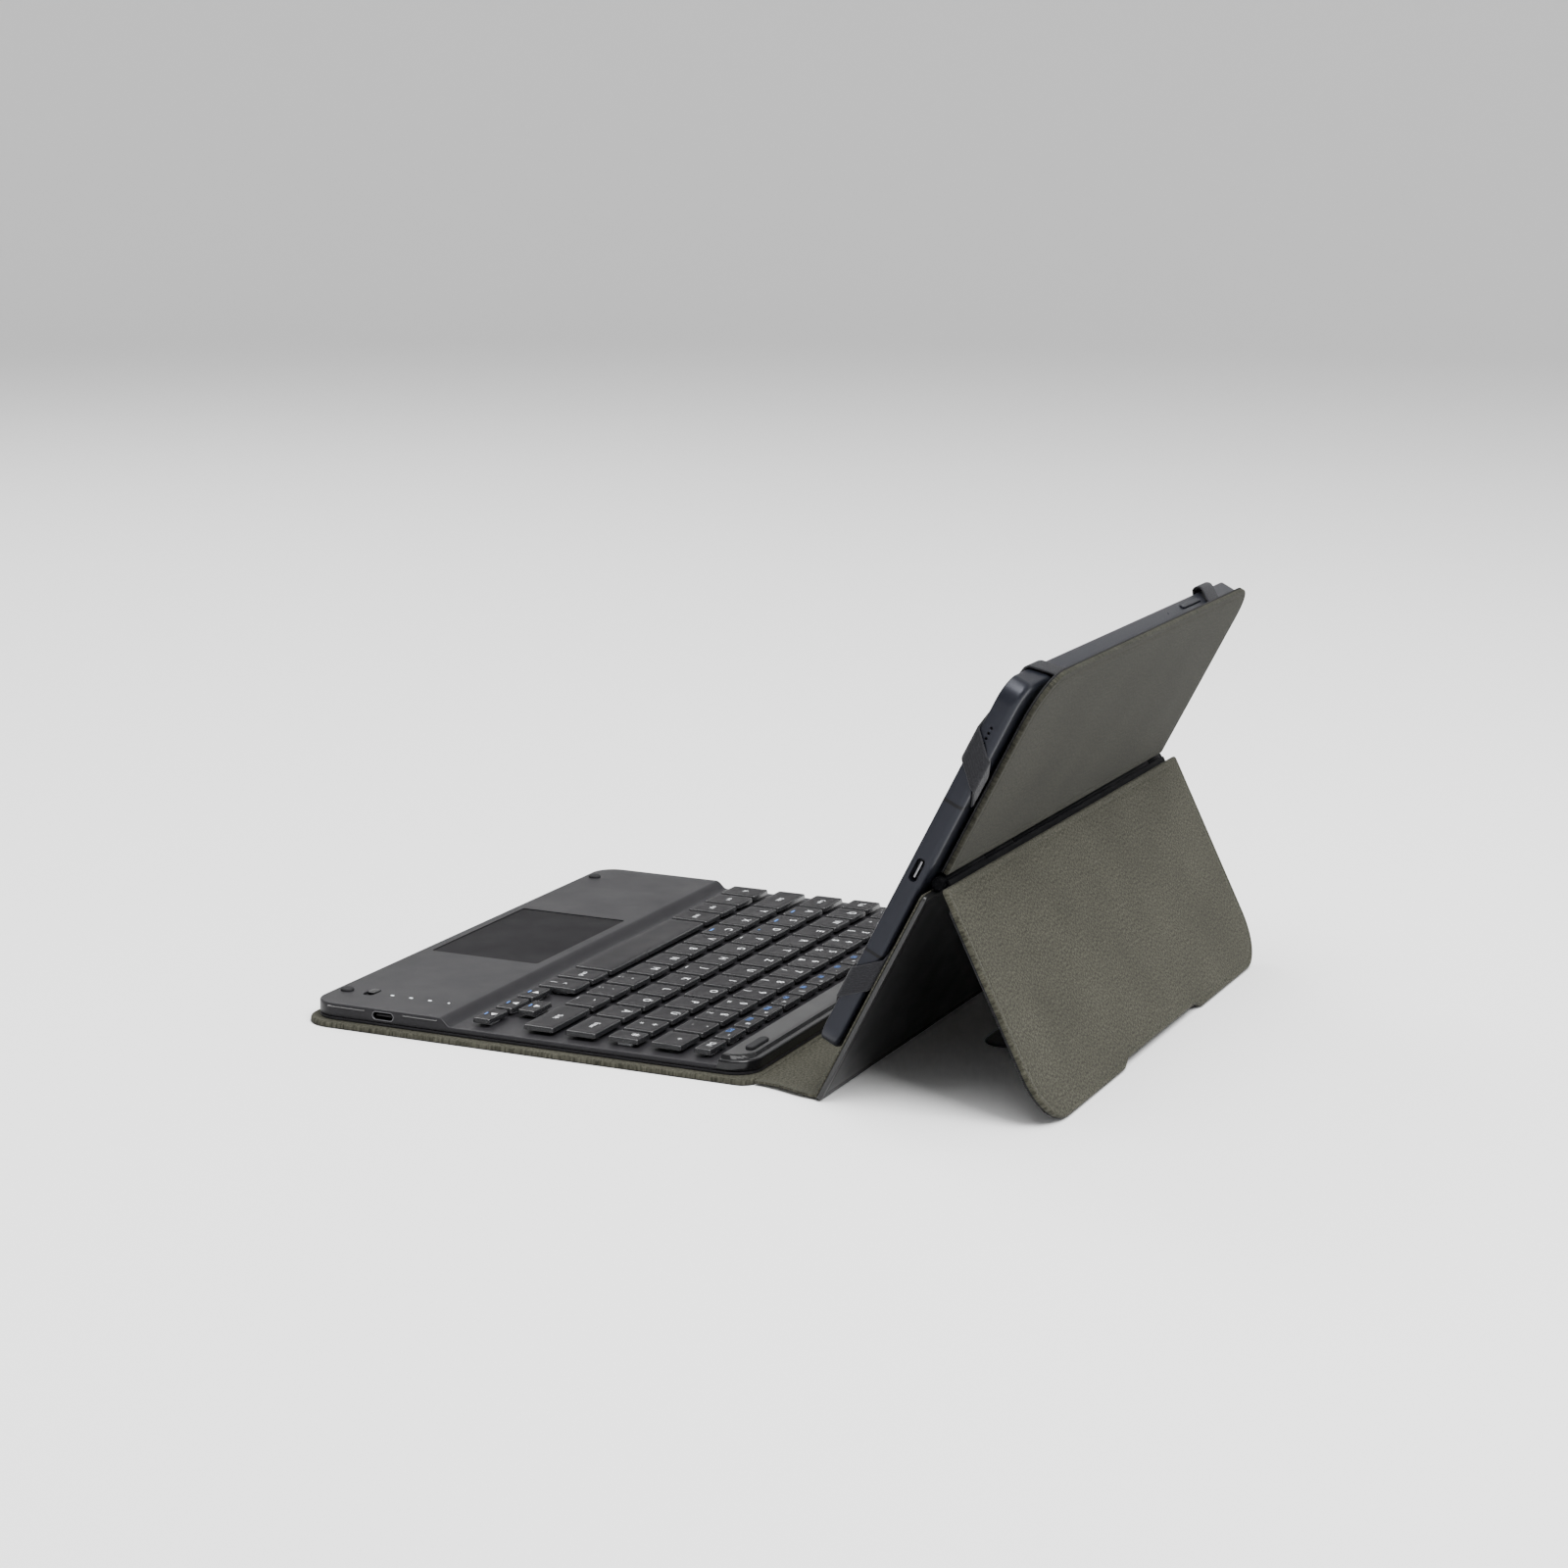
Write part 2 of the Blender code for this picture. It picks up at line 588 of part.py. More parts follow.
def make_port():
    """The charging port: a metal shell with its tongue inside."""
    y, z = port_middle()
    outer_x = DECK_W / 2
    turn = Matrix(((0, 0, 1, 0), (1, 0, 0, y), (0, 1, 0, z), (0, 0, 0, 1)))
    corner = PORT_H / 2 - FIT / 10
    shell = part("usb_c_shell", slab(rounded_outline(PORT_W, PORT_H, (corner,) * 4, 3),
                                     outer_x - PORT_L, outer_x, turn), STEEL)
    inner = PORT_H - 2 * PORT_WALL
    bore = rounded_outline(PORT_W - 2 * PORT_WALL, inner, (inner / 2 - FIT / 10,) * 4, 3)
    hole = slab(bore, outer_x - PORT_L + WALL, outer_x + WALL, turn)
    combine(shell, cutter("port_bore", hole), "DIFFERENCE")
    half_w = PORT_W / 2 - PORT_WALL - 3 * FIT
    tongue = ((outer_x - PORT_L + WALL + FIT, y - half_w, z - FIT),
              (outer_x - WALL, y + half_w, z + FIT))
    part("usb_c_tongue", boxes([tongue]), BLACK_PLASTIC)


def make_works():
    """Battery, circuit board and switch membrane inside the keyboard body."""
    floor = DECK_Z
    middle_y = DECK_FRONT_Y + PALM_D / 2
    battery = ((BATTERY_X - BATTERY_W / 2, middle_y - BATTERY_D / 2, floor),
               (BATTERY_X + BATTERY_W / 2, middle_y + BATTERY_D / 2, floor + BATTERY_T))
    part("battery", boxes([battery]), BATTERY_FOIL)
    board = ((BOARD_X - BOARD_W / 2, middle_y - BOARD_D / 2, floor),
             (BOARD_X + BOARD_W / 2 - PORT_L, middle_y + BOARD_D / 2, floor + BOARD_T))
    part("circuit_board", boxes([board]), GREEN_BOARD)
    half = DECK_W / 2 - DECK_WALL - FIT
    membrane = ((-half, KEY_ZONE_Y, floor), (half, LEDGE_Y - 2 * FIT, floor + MEMBRANE_T))
    part("switch_membrane", boxes([membrane]), CLEAR_FILM)


# ---------------------------------------------------------------- keys

def run_of_keys(start, count, pitch=KEY_PITCH):
    """Left and right edges of keys side by side."""
    return [(start + index * pitch, start + (index + 1) * pitch - KEY_GAP) for index in range(count)]


def letter_row(row, first, first_w, middle, count, last):
    """A row that starts with one odd key, runs on with like keys and ends with another odd key."""
    y = LETTER_ROW_Y + row * ROW_PITCH
    start = KEY_LEFT_X + first_w + KEY_GAP
    end = start + count * KEY_PITCH
    return [
        (first, [(KEY_LEFT_X, KEY_LEFT_X + first_w)], y, KEY_D),
        (middle, run_of_keys(start, count), y, KEY_D),
        (last, [(end, KEY_RIGHT_X)], y, KEY_D),
    ]


def number_row():
    """The narrow caret key and the number keys move as one group; backspace is on its own."""
    caret, numbers, backspace = letter_row(3, "caret_key", CARET_KEY_W, "number_row_keys", LETTER_COLUMNS,
                                           "backspace_key")
    return [(numbers[0], caret[1] + numbers[1], *numbers[2:]), backspace]


def key_groups():
    """Every group of keys: name, list of left and right edges, front edge and depth."""
    groups = []
    pitch = (KEY_FIELD_W + KEY_GAP) / 14
    top = run_of_keys(KEY_LEFT_X, 14, pitch)
    top_y = LETTER_ROW_Y + LETTER_ROWS * ROW_PITCH
    groups.append(("escape_key", top[:1], top_y, FUNCTION_KEY_D))
    groups.append(("function_keys", top[1:13], top_y, FUNCTION_KEY_D))
    groups.append(("delete_key", top[13:], top_y, FUNCTION_KEY_D))
    groups += number_row()
    groups += letter_row(2, "tab_key", TAB_KEY_W, "upper_letter_keys", LETTER_COLUMNS, "hash_key")
    groups += letter_row(1, "caps_lock_key", CAPS_KEY_W, "home_letter_keys", LETTER_COLUMNS - 1, "enter_key")
    groups += letter_row(0, "left_shift_key", SHIFT_KEY_W, "lower_letter_keys", LETTER_COLUMNS - 2,
                         "right_shift_key")
    left = run_of_keys(KEY_LEFT_X, 4, LEFT_MODIFIER_W + KEY_GAP)
    groups.append(("left_modifier_keys", left, BOTTOM_ROW_Y, BOTTOM_KEY_D))
    space_x = left[3][1] + KEY_GAP
    groups.append(("space_bar", [(space_x, space_x + SPACE_KEY_W)], BOTTOM_ROW_Y, BOTTOM_KEY_D))
    right = run_of_keys(space_x + SPACE_KEY_W + KEY_GAP, 2, RIGHT_MODIFIER_W + KEY_GAP)
    groups.append(("right_modifier_keys", right, BOTTOM_ROW_Y, BOTTOM_KEY_D))
    arrow_x = right[1][1] + KEY_GAP
    arrows = run_of_keys(arrow_x, 3, ARROW_KEY_W + KEY_GAP)
    for name, edges in zip(("left_arrow_key", "down_arrow_key", "right_arrow_key"), arrows):
        groups.append((name, [edges], BOTTOM_ROW_Y, ARROW_KEY_D))
    up_y = BOTTOM_ROW_Y + ARROW_KEY_D + ARROW_ROW_GAP
    groups.append(("up_arrow_key", [arrows[1]], up_y, ARROW_KEY_D))
    return groups


def stem_rect(left, right, front, depth, grow):
    """Plan of a key's stem, or of its hole when grown."""
    half_w = min(STEM_W, (right - left) / 2) / 2 + grow
    half_l = STEM_L / 2 + grow
    x = (left + right) / 2
    y = front + depth / 2
    return x - half_w, y - half_l, x + half_w, y + half_l


def key_mesh(edges, front, depth):
    """Keycaps of one group: a tapered cap with a stem drawn down from the middle of its underside."""
    shape = bmesh.new()
    for left, right in edges:
        bottom = KEY_TOP_Z - KEY_H
        size = Matrix.Diagonal((right - left, depth, KEY_H, 1.0))
        middle = ((left + right) / 2, front + depth / 2, bottom + KEY_H / 2)
        made = bmesh.ops.create_cube(shape, size=1.0, matrix=Matrix.Translation(middle) @ size)
        verts = made["verts"]
        for vert in verts:
            if vert.co.z > middle[2]:
                vert.co.x -= KEY_TAPER if vert.co.x > middle[0] else -KEY_TAPER
                vert.co.y -= KEY_TAPER if vert.co.y > middle[1] else -KEY_TAPER
        faces = {face for vert in verts for face in vert.link_faces}
        under = min(faces, key=lambda face: face.calc_center_median().z)
        low_x, low_y, high_x, high_y = stem_rect(left, right, front, depth, 0.0)
        bmesh.ops.inset_individual(shape, faces=[under], thickness=STEM_L / 10)
        for vert in under.verts:
            vert.co.x = high_x if vert.co.x > middle[0] else low_x
            vert.co.y = high_y if vert.co.y > middle[1] else low_y
        drawn = bmesh.ops.extrude_discrete_faces(shape, faces=[under])
        bmesh.ops.translate(shape, verts=drawn["faces"][0].verts, vec=(0.0, 0.0, -STEM_H))
    bmesh.ops.recalc_face_normals(shape, faces=shape.faces)
    return to_mesh(shape)


def make_keys():
    """All keys, each group under an empty at its own middle; returns the stem holes in the deck.

    Keys that share a group are tied by a thin web, so that the group is one moulding.
    """
    holes = []
    for name, edges, front, depth in key_groups():
        x = (edges[0][0] + edges[-1][1]) / 2
        y = front + depth / 2
        axis = frame(f"{name}_axis", (x, y, 0.0), 0.0)
        local = [(left - x, right - x) for left, right in edges]
        caps = part(name, key_mesh(local, front - y, depth), KEY_PLASTIC, axis)
        if len(edges) > 1:
            low = KEY_TOP_Z - KEY_H + FIT
            start = (local[0][0] + local[0][1]) / 2
            end = (local[-1][0] + local[-1][1]) / 2
            web = ((start, -WEB_D / 2, low), (end, WEB_D / 2, low + WEB_T))
            combine(caps, cutter(f"{name}_web", boxes([web]), axis), "UNION")
        for left, right in edges:
            low_x, low_y, high_x, high_y = stem_rect(left, right, front, depth, FIT)
            holes.append(((low_x, low_y, KEY_FLOOR_Z - 2 * WALL), (high_x, high_y, KEY_FLOOR_Z + WALL)))
    return holes


# ---------------------------------------------------------------- spine and back panel

def make_spine(axis):
    """The soft strip behind the keyboard, flaring out to the back panel's width."""
    near = COVER_W / 2 - COVER_R / 4
    flare = LOWER_W / 2 - SPINE_INSET - near
    steps = 8
    edge = []
    for step in range(steps + 1):
        share = step / steps
        x = near + flare * (1 - cos(pi * share)) / 2
        edge.append((x, FIT + share * (SPINE_D - 2 * FIT - PANEL_START)))
    outline = edge + [(-x, y) for x, y in edge[::-1]]
    part("spine", slab(outline, -SPINE_T, 0.0), OLIVE_FABRIC, axis)


def make_lower_panel(axis):
    """Lower half of the back: a black board outside and an olive lining inside."""
    length = LOWER_L - HINGE_CLEAR - PANEL_START
    outline = moved(rounded_outline(LOWER_W, length, (0.0015, 0.0015, 0.0015, 0.0015), 2),
                    0.0, PANEL_START + length / 2)
    back = PANEL_BACK_N
    part("lower_panel", slab(outline, back, back + PANEL_SHELL_T), BLACK_BOARD, axis)
    inner = back + PANEL_SHELL_T + FIT
    part("lower_lining", slab(outline, inner, inner + LINING_T), OLIVE_FABRIC, axis)


def make_upper_panel(axis):
    """Upper half of the back: an olive board outside and a dark lining inside."""
    start = HINGE_T + HINGE_CLEAR
    length = HINGE_T + UPPER_L - start
    radii = (0.0015, 0.0015, UPPER_R, UPPER_R)
    outline = moved(rounded_outline(UPPER_W, length, radii, 8), 0.0, start + length / 2)
    back = PANEL_BACK_N
    part("upper_panel", slab(outline, back, back + PANEL_SHELL_T), OLIVE_FABRIC, axis)
    inner = back + PANEL_SHELL_T + FIT
    part("upper_lining", slab(outline, inner, inner + LINING_T), DARK_LINING, axis)


def knuckle(name, span, blocks, parent):
    """A length of tube round the hinge line, joined to its leaf and bored for the pin."""
    low, high = span
    made = part(name, cylinders([(0.0, 0.0, 0.0)], BARREL_R, low, high, "X"), BARREL_BLACK, parent)
    for index, (low_y, low_z, high_y, high_z) in enumerate(blocks):
        leaf = boxes([((low, low_y, low_z), (high, high_y, high_z))])
        combine(made, cutter(f"{name}_leaf_{index}", leaf, parent), "UNION")
    bore = cylinders([(0.0, 0.0, 0.0)], PIN_R + FIT, low - WALL, high + WALL, "X")
    combine(made, cutter(f"{name}_bore", bore, parent), "DIFFERENCE")


def make_hinge(panel_line, kick_axis):
    """Barrel hinge: two knuckles on the back, two on the kickstand, one pin and its end caps."""
    half = FIT / 2
    tail = HINGE_CLEAR - FIT
    board = PANEL_BACK_N - HINGE_N
    panel_block = [(-tail, board + FIT, tail, board + PANEL_SHELL_T)]
    knuckle("panel_knuckle_middle", (GAP_FAR + half, GAP_NEXT - half), panel_block, panel_line)
    knuckle("panel_knuckle_right", (GAP_NEAR + half, BARREL_HALF_L), panel_block, panel_line)
    leaf_top = KICK_IN + LEAF_T
    kick_blocks = [(0.0, BARREL_R / 2, KNUCKLE_WEB, leaf_top), (0.0, KICK_IN, LEAF_L, leaf_top)]
    knuckle("kickstand_knuckle_left", (-BARREL_HALF_L, GAP_FAR - half), kick_blocks, kick_axis)
    knuckle("kickstand_knuckle_right", (GAP_NEXT + half, GAP_NEAR - half), kick_blocks, kick_axis)
    pin = cylinders([(0.0, 0.0, 0.0)], PIN_R, -BARREL_HALF_L, BARREL_HALF_L, "X")
    part("hinge_pin", pin, STEEL, panel_line)
    start = BARREL_HALF_L + FIT
    for name, low in (("left", -start - CAP_L), ("right", start)):
        cap = cylinders([(0.0, 0.0, 0.0)], BARREL_R, low, low + CAP_L, "X")
        part(f"hinge_cap_{name}", cap, BARREL_BLACK, panel_line)


def kick_outline(start):
    """Plan of the kickstand from its top edge down, with round feet and a recess for the flap."""
    length = KICK_L - start
    points = moved(rounded_outline(KICK_W, length, (0.0015, 0.0015, KICK_R, KICK_R), 8),
                   0.0, start + length / 2)
    half = RECESS_W / 2
    slant = RECESS_D
    low = KICK_L - RECESS_D
    recess = [(half + slant, KICK_L), (half, low), (-half, low), (-half - slant, KICK_L)]
    corner = len(points) - 9
    return points[:corner] + recess + points[corner:]


def make_kickstand(axis):
    """The kickstand: an olive board outside and a dark lining inside."""
    inner = KICK_IN
    part("kickstand_lining", slab(kick_outline(LEAF_L + FIT), inner, inner + LINING_T), DARK_LINING, axis)
    shell = inner + LINING_T + FIT
    part("kickstand", slab(kick_outline(KICK_TOP), shell, shell + KICK_SHELL_T), OLIVE_FABRIC, axis)


def make_flap():
    """The black flap hinged in the kickstand's recess, lying on the table towards the keyboard."""
    back = 0.0009
    along = KICK_L - RECESS_D + back
    out = KICK_IN + FLAP_T / 2
    y = HINGE_Y + along * sin(KICK_LEAN) + out * cos(KICK_LEAN)
    z = HINGE_Z - along * cos(KICK_LEAN) + out * sin(KICK_LEAN)
    tilt = asin((z - FLAP_T / 2 - FIT) / FLAP_L)
    axis = frame("flap_axis", (0.0, y, z), tilt)
    outline = moved(rounded_outline(FLAP_W, FLAP_L, (FLAP_R, FLAP_R, 0.0, 0.0), 5), 0.0, -FLAP_L / 2)
    part("flap", slab(outline, -FLAP_T / 2, FLAP_T / 2), BLACK_BOARD, axis)


# ---------------------------------------------------------------- tablet and elastics

def make_tablet(axis):
    """The tablet in the case: housing with its openings, cover glass and volume rocker."""
    middle_t = TABLET_FROM_FOLD + TABLET_H / 2
    outline = moved(rounded_outline(TABLET_W, TABLET_H, (TABLET_R,) * 4, 6), TABLET_X, middle_t)
    front = TABLET_BACK_N + TABLET_T
    housing = part("tablet_housing", slab(outline, TABLET_BACK_N, front - GLASS_PROUD), TABLET_METAL, axis)
    glass_w = TABLET_W - 2 * GLASS_RIM
    glass_h = TABLET_H - 2 * GLASS_RIM
    seat = moved(rounded_outline(glass_w + 2 * FIT, glass_h + 2 * FIT, (TABLET_R - GLASS_RIM,) * 4, 6),
                 TABLET_X, middle_t)
    seat_low = front - GLASS_T - FIT
    combine(housing, cutter("glass_seat", slab(seat, seat_low, front + WALL), axis), "DIFFERENCE")
    glass = moved(rounded_outline(glass_w, glass_h, (TABLET_R - GLASS_RIM,) * 4, 6), TABLET_X, middle_t)
    part("tablet_glass", slab(glass, front - GLASS_T, front), GLASS, axis)
    side = TABLET_X + TABLET_W / 2
    middle_n = TABLET_BACK_N + TABLET_T / 2
    port = ((side - TABLET_PORT_DEPTH, middle_t - TABLET_PORT_W / 2, middle_n - TABLET_PORT_H / 2),
            (side + WALL, middle_t + TABLET_PORT_W / 2, middle_n + TABLET_PORT_H / 2))
    top = TABLET_TOP
    depth = ROCKER_H - ROCKER_PROUD + ROCKER_TRAVEL + FIT
    slot = ((ROCKER_X - ROCKER_L / 2 - FIT, top - depth, middle_n - ROCKER_D / 2 - FIT),
            (ROCKER_X + ROCKER_L / 2 + FIT, top + WALL, middle_n + ROCKER_D / 2 + FIT))
    combine(housing, cutter("tablet_openings", boxes([port, slot]), axis), "DIFFERENCE")
    holes = []
    for index in range(SPEAKER_HOLES):
        holes.append((0.0, top - SPEAKER_FROM_TOP - index * SPEAKER_PITCH, middle_n))
    drilled = cylinders(holes, SPEAKER_R, side - 3 * WALL, side + WALL, "X", 8)
    combine(housing, cutter("speaker_holes", drilled, axis), "DIFFERENCE")
    rocker_axis = frame("volume_rocker_axis", (ROCKER_X, top, middle_n), 0.0, axis)
    rocker = ((-ROCKER_L / 2, ROCKER_PROUD - ROCKER_H, -ROCKER_D / 2),
              (ROCKER_L / 2, ROCKER_PROUD, ROCKER_D / 2))
    part("volume_rocker", boxes([rocker]), TABLET_METAL, rocker_axis)


def make_strap(name, side, end, axis):
    """One corner elastic: a band over the glass with a leg down each edge and a tail behind."""
    edge_x = TABLET_W / 2 + STRAP_CLEAR
    edge_t = TABLET_H / 2 + STRAP_CLEAR
    front = TABLET_BACK_N + TABLET_T + STRAP_CLEAR
    back = TABLET_BACK_N - STRAP_CLEAR
    wide = STRAP_W * 2 ** 0.5
    near = STRAP_NEAR_CORNER
    far = near + wide
    tail = STRAP_TAIL
    rows = [
        ((edge_x - tail, edge_t - near, back), (edge_x - tail, edge_t - far, back)),
        ((edge_x, edge_t - near, back), (edge_x, edge_t - far, back)),
        ((edge_x, edge_t - near, front), (edge_x, edge_t - far, front)),
        ((edge_x - near, edge_t, front), (edge_x - far, edge_t, front)),
        ((edge_x - near, edge_t, back), (edge_x - far, edge_t, back)),
        ((edge_x - near, edge_t - tail, back), (edge_x - far, edge_t - tail, back)),
    ]
    middle_t = TABLET_FROM_FOLD + TABLET_H / 2
    shape = bmesh.new()
    pairs = []
    for row in rows:
        pairs.append([shape.verts.new((TABLET_X + side * x, middle_t + end * t, n)) for x, t, n in row])
    for (a, b), (c, d) in zip(pairs, pairs[1:]):
        corners = (c, d, b, a) if side * end > 0 else (a, b, d, c)
        shape.faces.new(corners)
    strap = part(name, to_mesh(shape), ELASTIC, axis)
    wall = strap.modifiers.new("band", "SOLIDIFY")
    wall.thickness = STRAP_T
    wall.offset = 1.0
    wall.use_even_offset = True


# ---------------------------------------------------------------- assembly

def build():
    """Make every part of the case."""
    clear_scene()
    make_cover()
    make_base()
    holes = make_keys()
    make_deck(holes)
    make_deck_fittings()
    make_works()
    spine_axis = frame("spine_axis", (0.0, COVER_BACK_Y, SPINE_T + FIT / 3), 0.0)
    make_spine(spine_axis)
    panel_axis = frame("back_panel_axis", (0.0, FOLD_Y, FOLD_Z), pi / 2 - PANEL_LEAN)
    make_lower_panel(panel_axis)
    make_upper_panel(panel_axis)
    make_tablet(panel_axis)
    for side, across in ((-1, "left"), (1, "right")):
        for end, level in ((-1, "lower"), (1, "upper")):
            make_strap(f"corner_elastic_{level}_{across}", side, end, panel_axis)
    hinge_line = frame("hinge_line", (0.0, HINGE_T, HINGE_N), 0.0, panel_axis)
    kick_axis = frame("kickstand_axis", (0.0, HINGE_Y, HINGE_Z), KICK_LEAN - pi / 2)
    make_hinge(hinge_line, kick_axis)
    make_kickstand(kick_axis)
    make_flap()


build()
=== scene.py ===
"""Looks of a tablet keyboard case: fabric panels, keyboard, barrel hinge, elastics and tablet.

Every piece is a surface worked out on a grid in a flat working plane, then laid in its place.
The planes are the table, the back panel, the kickstand and the flap, and come from the joints.
"""

import json
from math import atan2, cos, pi, radians, sin

import bpy
import numpy as np
from bpy.props import FloatProperty, FloatVectorProperty, PointerProperty
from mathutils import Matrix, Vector

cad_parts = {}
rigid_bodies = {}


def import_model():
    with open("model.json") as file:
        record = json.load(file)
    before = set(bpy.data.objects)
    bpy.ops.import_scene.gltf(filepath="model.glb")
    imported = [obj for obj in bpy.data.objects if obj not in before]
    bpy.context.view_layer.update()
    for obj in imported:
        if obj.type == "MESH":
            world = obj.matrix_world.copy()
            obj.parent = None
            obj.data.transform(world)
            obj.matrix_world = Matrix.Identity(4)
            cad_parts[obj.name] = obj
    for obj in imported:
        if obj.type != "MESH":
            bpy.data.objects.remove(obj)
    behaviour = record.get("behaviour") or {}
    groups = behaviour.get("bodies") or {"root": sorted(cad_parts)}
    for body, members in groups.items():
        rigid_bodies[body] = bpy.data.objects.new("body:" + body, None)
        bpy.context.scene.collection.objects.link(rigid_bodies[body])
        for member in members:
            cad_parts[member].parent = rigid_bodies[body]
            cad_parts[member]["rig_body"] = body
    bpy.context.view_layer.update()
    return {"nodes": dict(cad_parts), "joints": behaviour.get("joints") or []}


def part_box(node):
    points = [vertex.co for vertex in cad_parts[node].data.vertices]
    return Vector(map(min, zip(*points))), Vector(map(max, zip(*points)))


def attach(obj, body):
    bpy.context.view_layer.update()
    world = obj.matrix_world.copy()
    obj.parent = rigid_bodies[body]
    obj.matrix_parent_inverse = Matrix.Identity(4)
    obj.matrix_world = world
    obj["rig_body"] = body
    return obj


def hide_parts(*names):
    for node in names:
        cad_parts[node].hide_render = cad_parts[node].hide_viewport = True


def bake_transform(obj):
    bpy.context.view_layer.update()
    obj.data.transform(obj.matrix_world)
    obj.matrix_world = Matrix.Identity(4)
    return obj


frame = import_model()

bl_info = {
    "name": "Tablet Keyboard Case Looks",
    "version": (1, 0, 0),
    "blender": (4, 5, 0),
    "location": "3D View > Sidebar > Case",
    "description": "Builds the fabric, keys, hinge and tablet of a folding keyboard case",
    "category": "Object",
}

MM = 0.001
SHARP = radians(48)
CUT_SHARP = radians(40)
LEAST_R = 0.1 * MM

# ---------------------------------------------------------------- places taken from the frame


def joint_named(name):
    """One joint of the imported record."""
    return next(joint for joint in frame["joints"] if joint["name"] == name)


def plane_at(point, angle):
    """Columns of a working plane: X, a direction at an angle from +Y up to +Z, and its normal."""
    along = (0.0, cos(angle), sin(angle))
    normal = (0.0, -sin(angle), cos(angle))
    return np.array([(1.0, 0.0, 0.0), along, normal]), np.array(point, float)


def span(node, axis):
    """Lowest and highest value of a CAD node on one axis."""
    low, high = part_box(node)
    return low[axis], high[axis]


FOLD = joint_named("back_panel_fold")
HINGE = joint_named("kickstand_hinge")
PANEL_ANGLE = -radians(FOLD["range_deg"][0])
KICK_ANGLE = PANEL_ANGLE - pi - radians(HINGE["range_deg"][0])
FLAP_PIVOT = joint_named("flap_hinge")["pos_m"]
FLAP_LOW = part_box("flap")[0]
FLAP_L = FLAP_PIVOT[1] - FLAP_LOW.y
FLAP_T = 0.7 * MM
FLAP_ANGLE = atan2(FLAP_PIVOT[2] - FLAP_LOW.z - FLAP_T / 2, FLAP_L)

TABLE = plane_at((0.0, 0.0, 0.0), 0.0)
BACK = plane_at(FOLD["pos_m"], PANEL_ANGLE)
KICK = plane_at(HINGE["pos_m"], KICK_ANGLE)
FLAP = plane_at(FLAP_PIVOT, FLAP_ANGLE)


def in_plane(node, plane):
    """Lowest and highest corner of a CAD node, measured in a working plane."""
    axes, origin = plane
    mesh = frame["nodes"][node].data
    points = np.empty(len(mesh.vertices) * 3, np.float32)
    mesh.vertices.foreach_get("co", points)
    local = (points.reshape(-1, 3) - origin) @ axes.T
    return local.min(0), local.max(0)


# ---------------------------------------------------------------- settings

class ClothLook(bpy.types.PropertyGroup):
    """Fabric faces of the case."""
    olive: FloatVectorProperty(name="Fabric", description="Main colour of the fabric", size=4,
                               subtype="COLOR", min=0.0, max=1.0,
                               default=(0.018, 0.0178, 0.0128, 1.0))
    pale: FloatVectorProperty(name="Pale threads", description="Lighter threads of the fabric", size=4,
                              subtype="COLOR", min=0.0, max=1.0,
                              default=(0.072, 0.070, 0.054, 1.0))
    # Painted shade: the upper panel wears this share of the fabric's colour, a darker copy of the same
    # cloth standing in for the shade on a panel that leans away from the light.
    upper_painted_shade: FloatProperty(name="Upper panel painted shade", default=0.60, min=0.0, max=1.0, subtype="FACTOR",
                              description="Share of the fabric's colour on the upper panel; "
                                          "1 is the same cloth as the kickstand")
    thread: FloatProperty(name="Thread pitch", description="Distance between two threads",
                          default=0.00038, precision=5, unit="LENGTH")
    rim: FloatProperty(name="Rim", description="Width of the turned edge", default=0.0024,
                       precision=5, unit="LENGTH")
    elastic: FloatVectorProperty(name="Elastic", description="Colour of the corner elastics", size=4,
                                 subtype="COLOR", min=0.0, max=1.0,
                                 default=(0.010, 0.010, 0.0115, 1.0))


class KeyboardLook(bpy.types.PropertyGroup):
    """Keyboard body and keys."""
    plastic: FloatVectorProperty(name="Body", description="Colour of the keyboard body", size=4,
                                 subtype="COLOR", min=0.0, max=1.0,
                                 default=(0.013, 0.0125, 0.014, 1.0))
    keycap: FloatVectorProperty(name="Keys", description="Colour of the keycaps", size=4,
                                subtype="COLOR", min=0.0, max=1.0,
                                default=(0.0065, 0.006, 0.007, 1.0))
    key_radius: FloatProperty(name="Key corner", description="Corner radius of a keycap",
                              default=0.0014, precision=5, unit="LENGTH")
    key_edge: FloatProperty(name="Key edge", description="Rounding of a keycap's upper edge",
                            default=0.00045, precision=5, unit="LENGTH")
    key_dish: FloatProperty(name="Key dish", description="Depth of the hollow in a keycap",
                            default=0.00010, precision=5, unit="LENGTH")
    legend: FloatVectorProperty(name="Legends", description="Colour of the printed legends", size=4,
                                subtype="COLOR", min=0.0, max=1.0,
                                default=(0.80, 0.82, 0.84, 1.0))
    second: FloatVectorProperty(name="Second legends", description="Colour of the blue legends", size=4,
                                subtype="COLOR", min=0.0, max=1.0,
                                default=(0.06, 0.20, 0.62, 1.0))


class TabletLook(bpy.types.PropertyGroup):
    """Tablet housing and glass."""
    metal: FloatVectorProperty(name="Housing", description="Colour of the tablet's metal", size=4,
                               subtype="COLOR", min=0.0, max=1.0,
                               default=(0.0095, 0.0104, 0.0150, 1.0))
    back_edge: FloatProperty(name="Back edge", description="Rounding of the tablet's back edge",
                             default=0.0022, precision=5, unit="LENGTH")
    front_edge: FloatProperty(name="Front edge", description="Rounding of the tablet's front edge",
                              default=0.0006, precision=5, unit="LENGTH")
    bezel: FloatProperty(name="Bezel", description="Black border round the display", default=0.0085,
                         precision=5, unit="LENGTH")


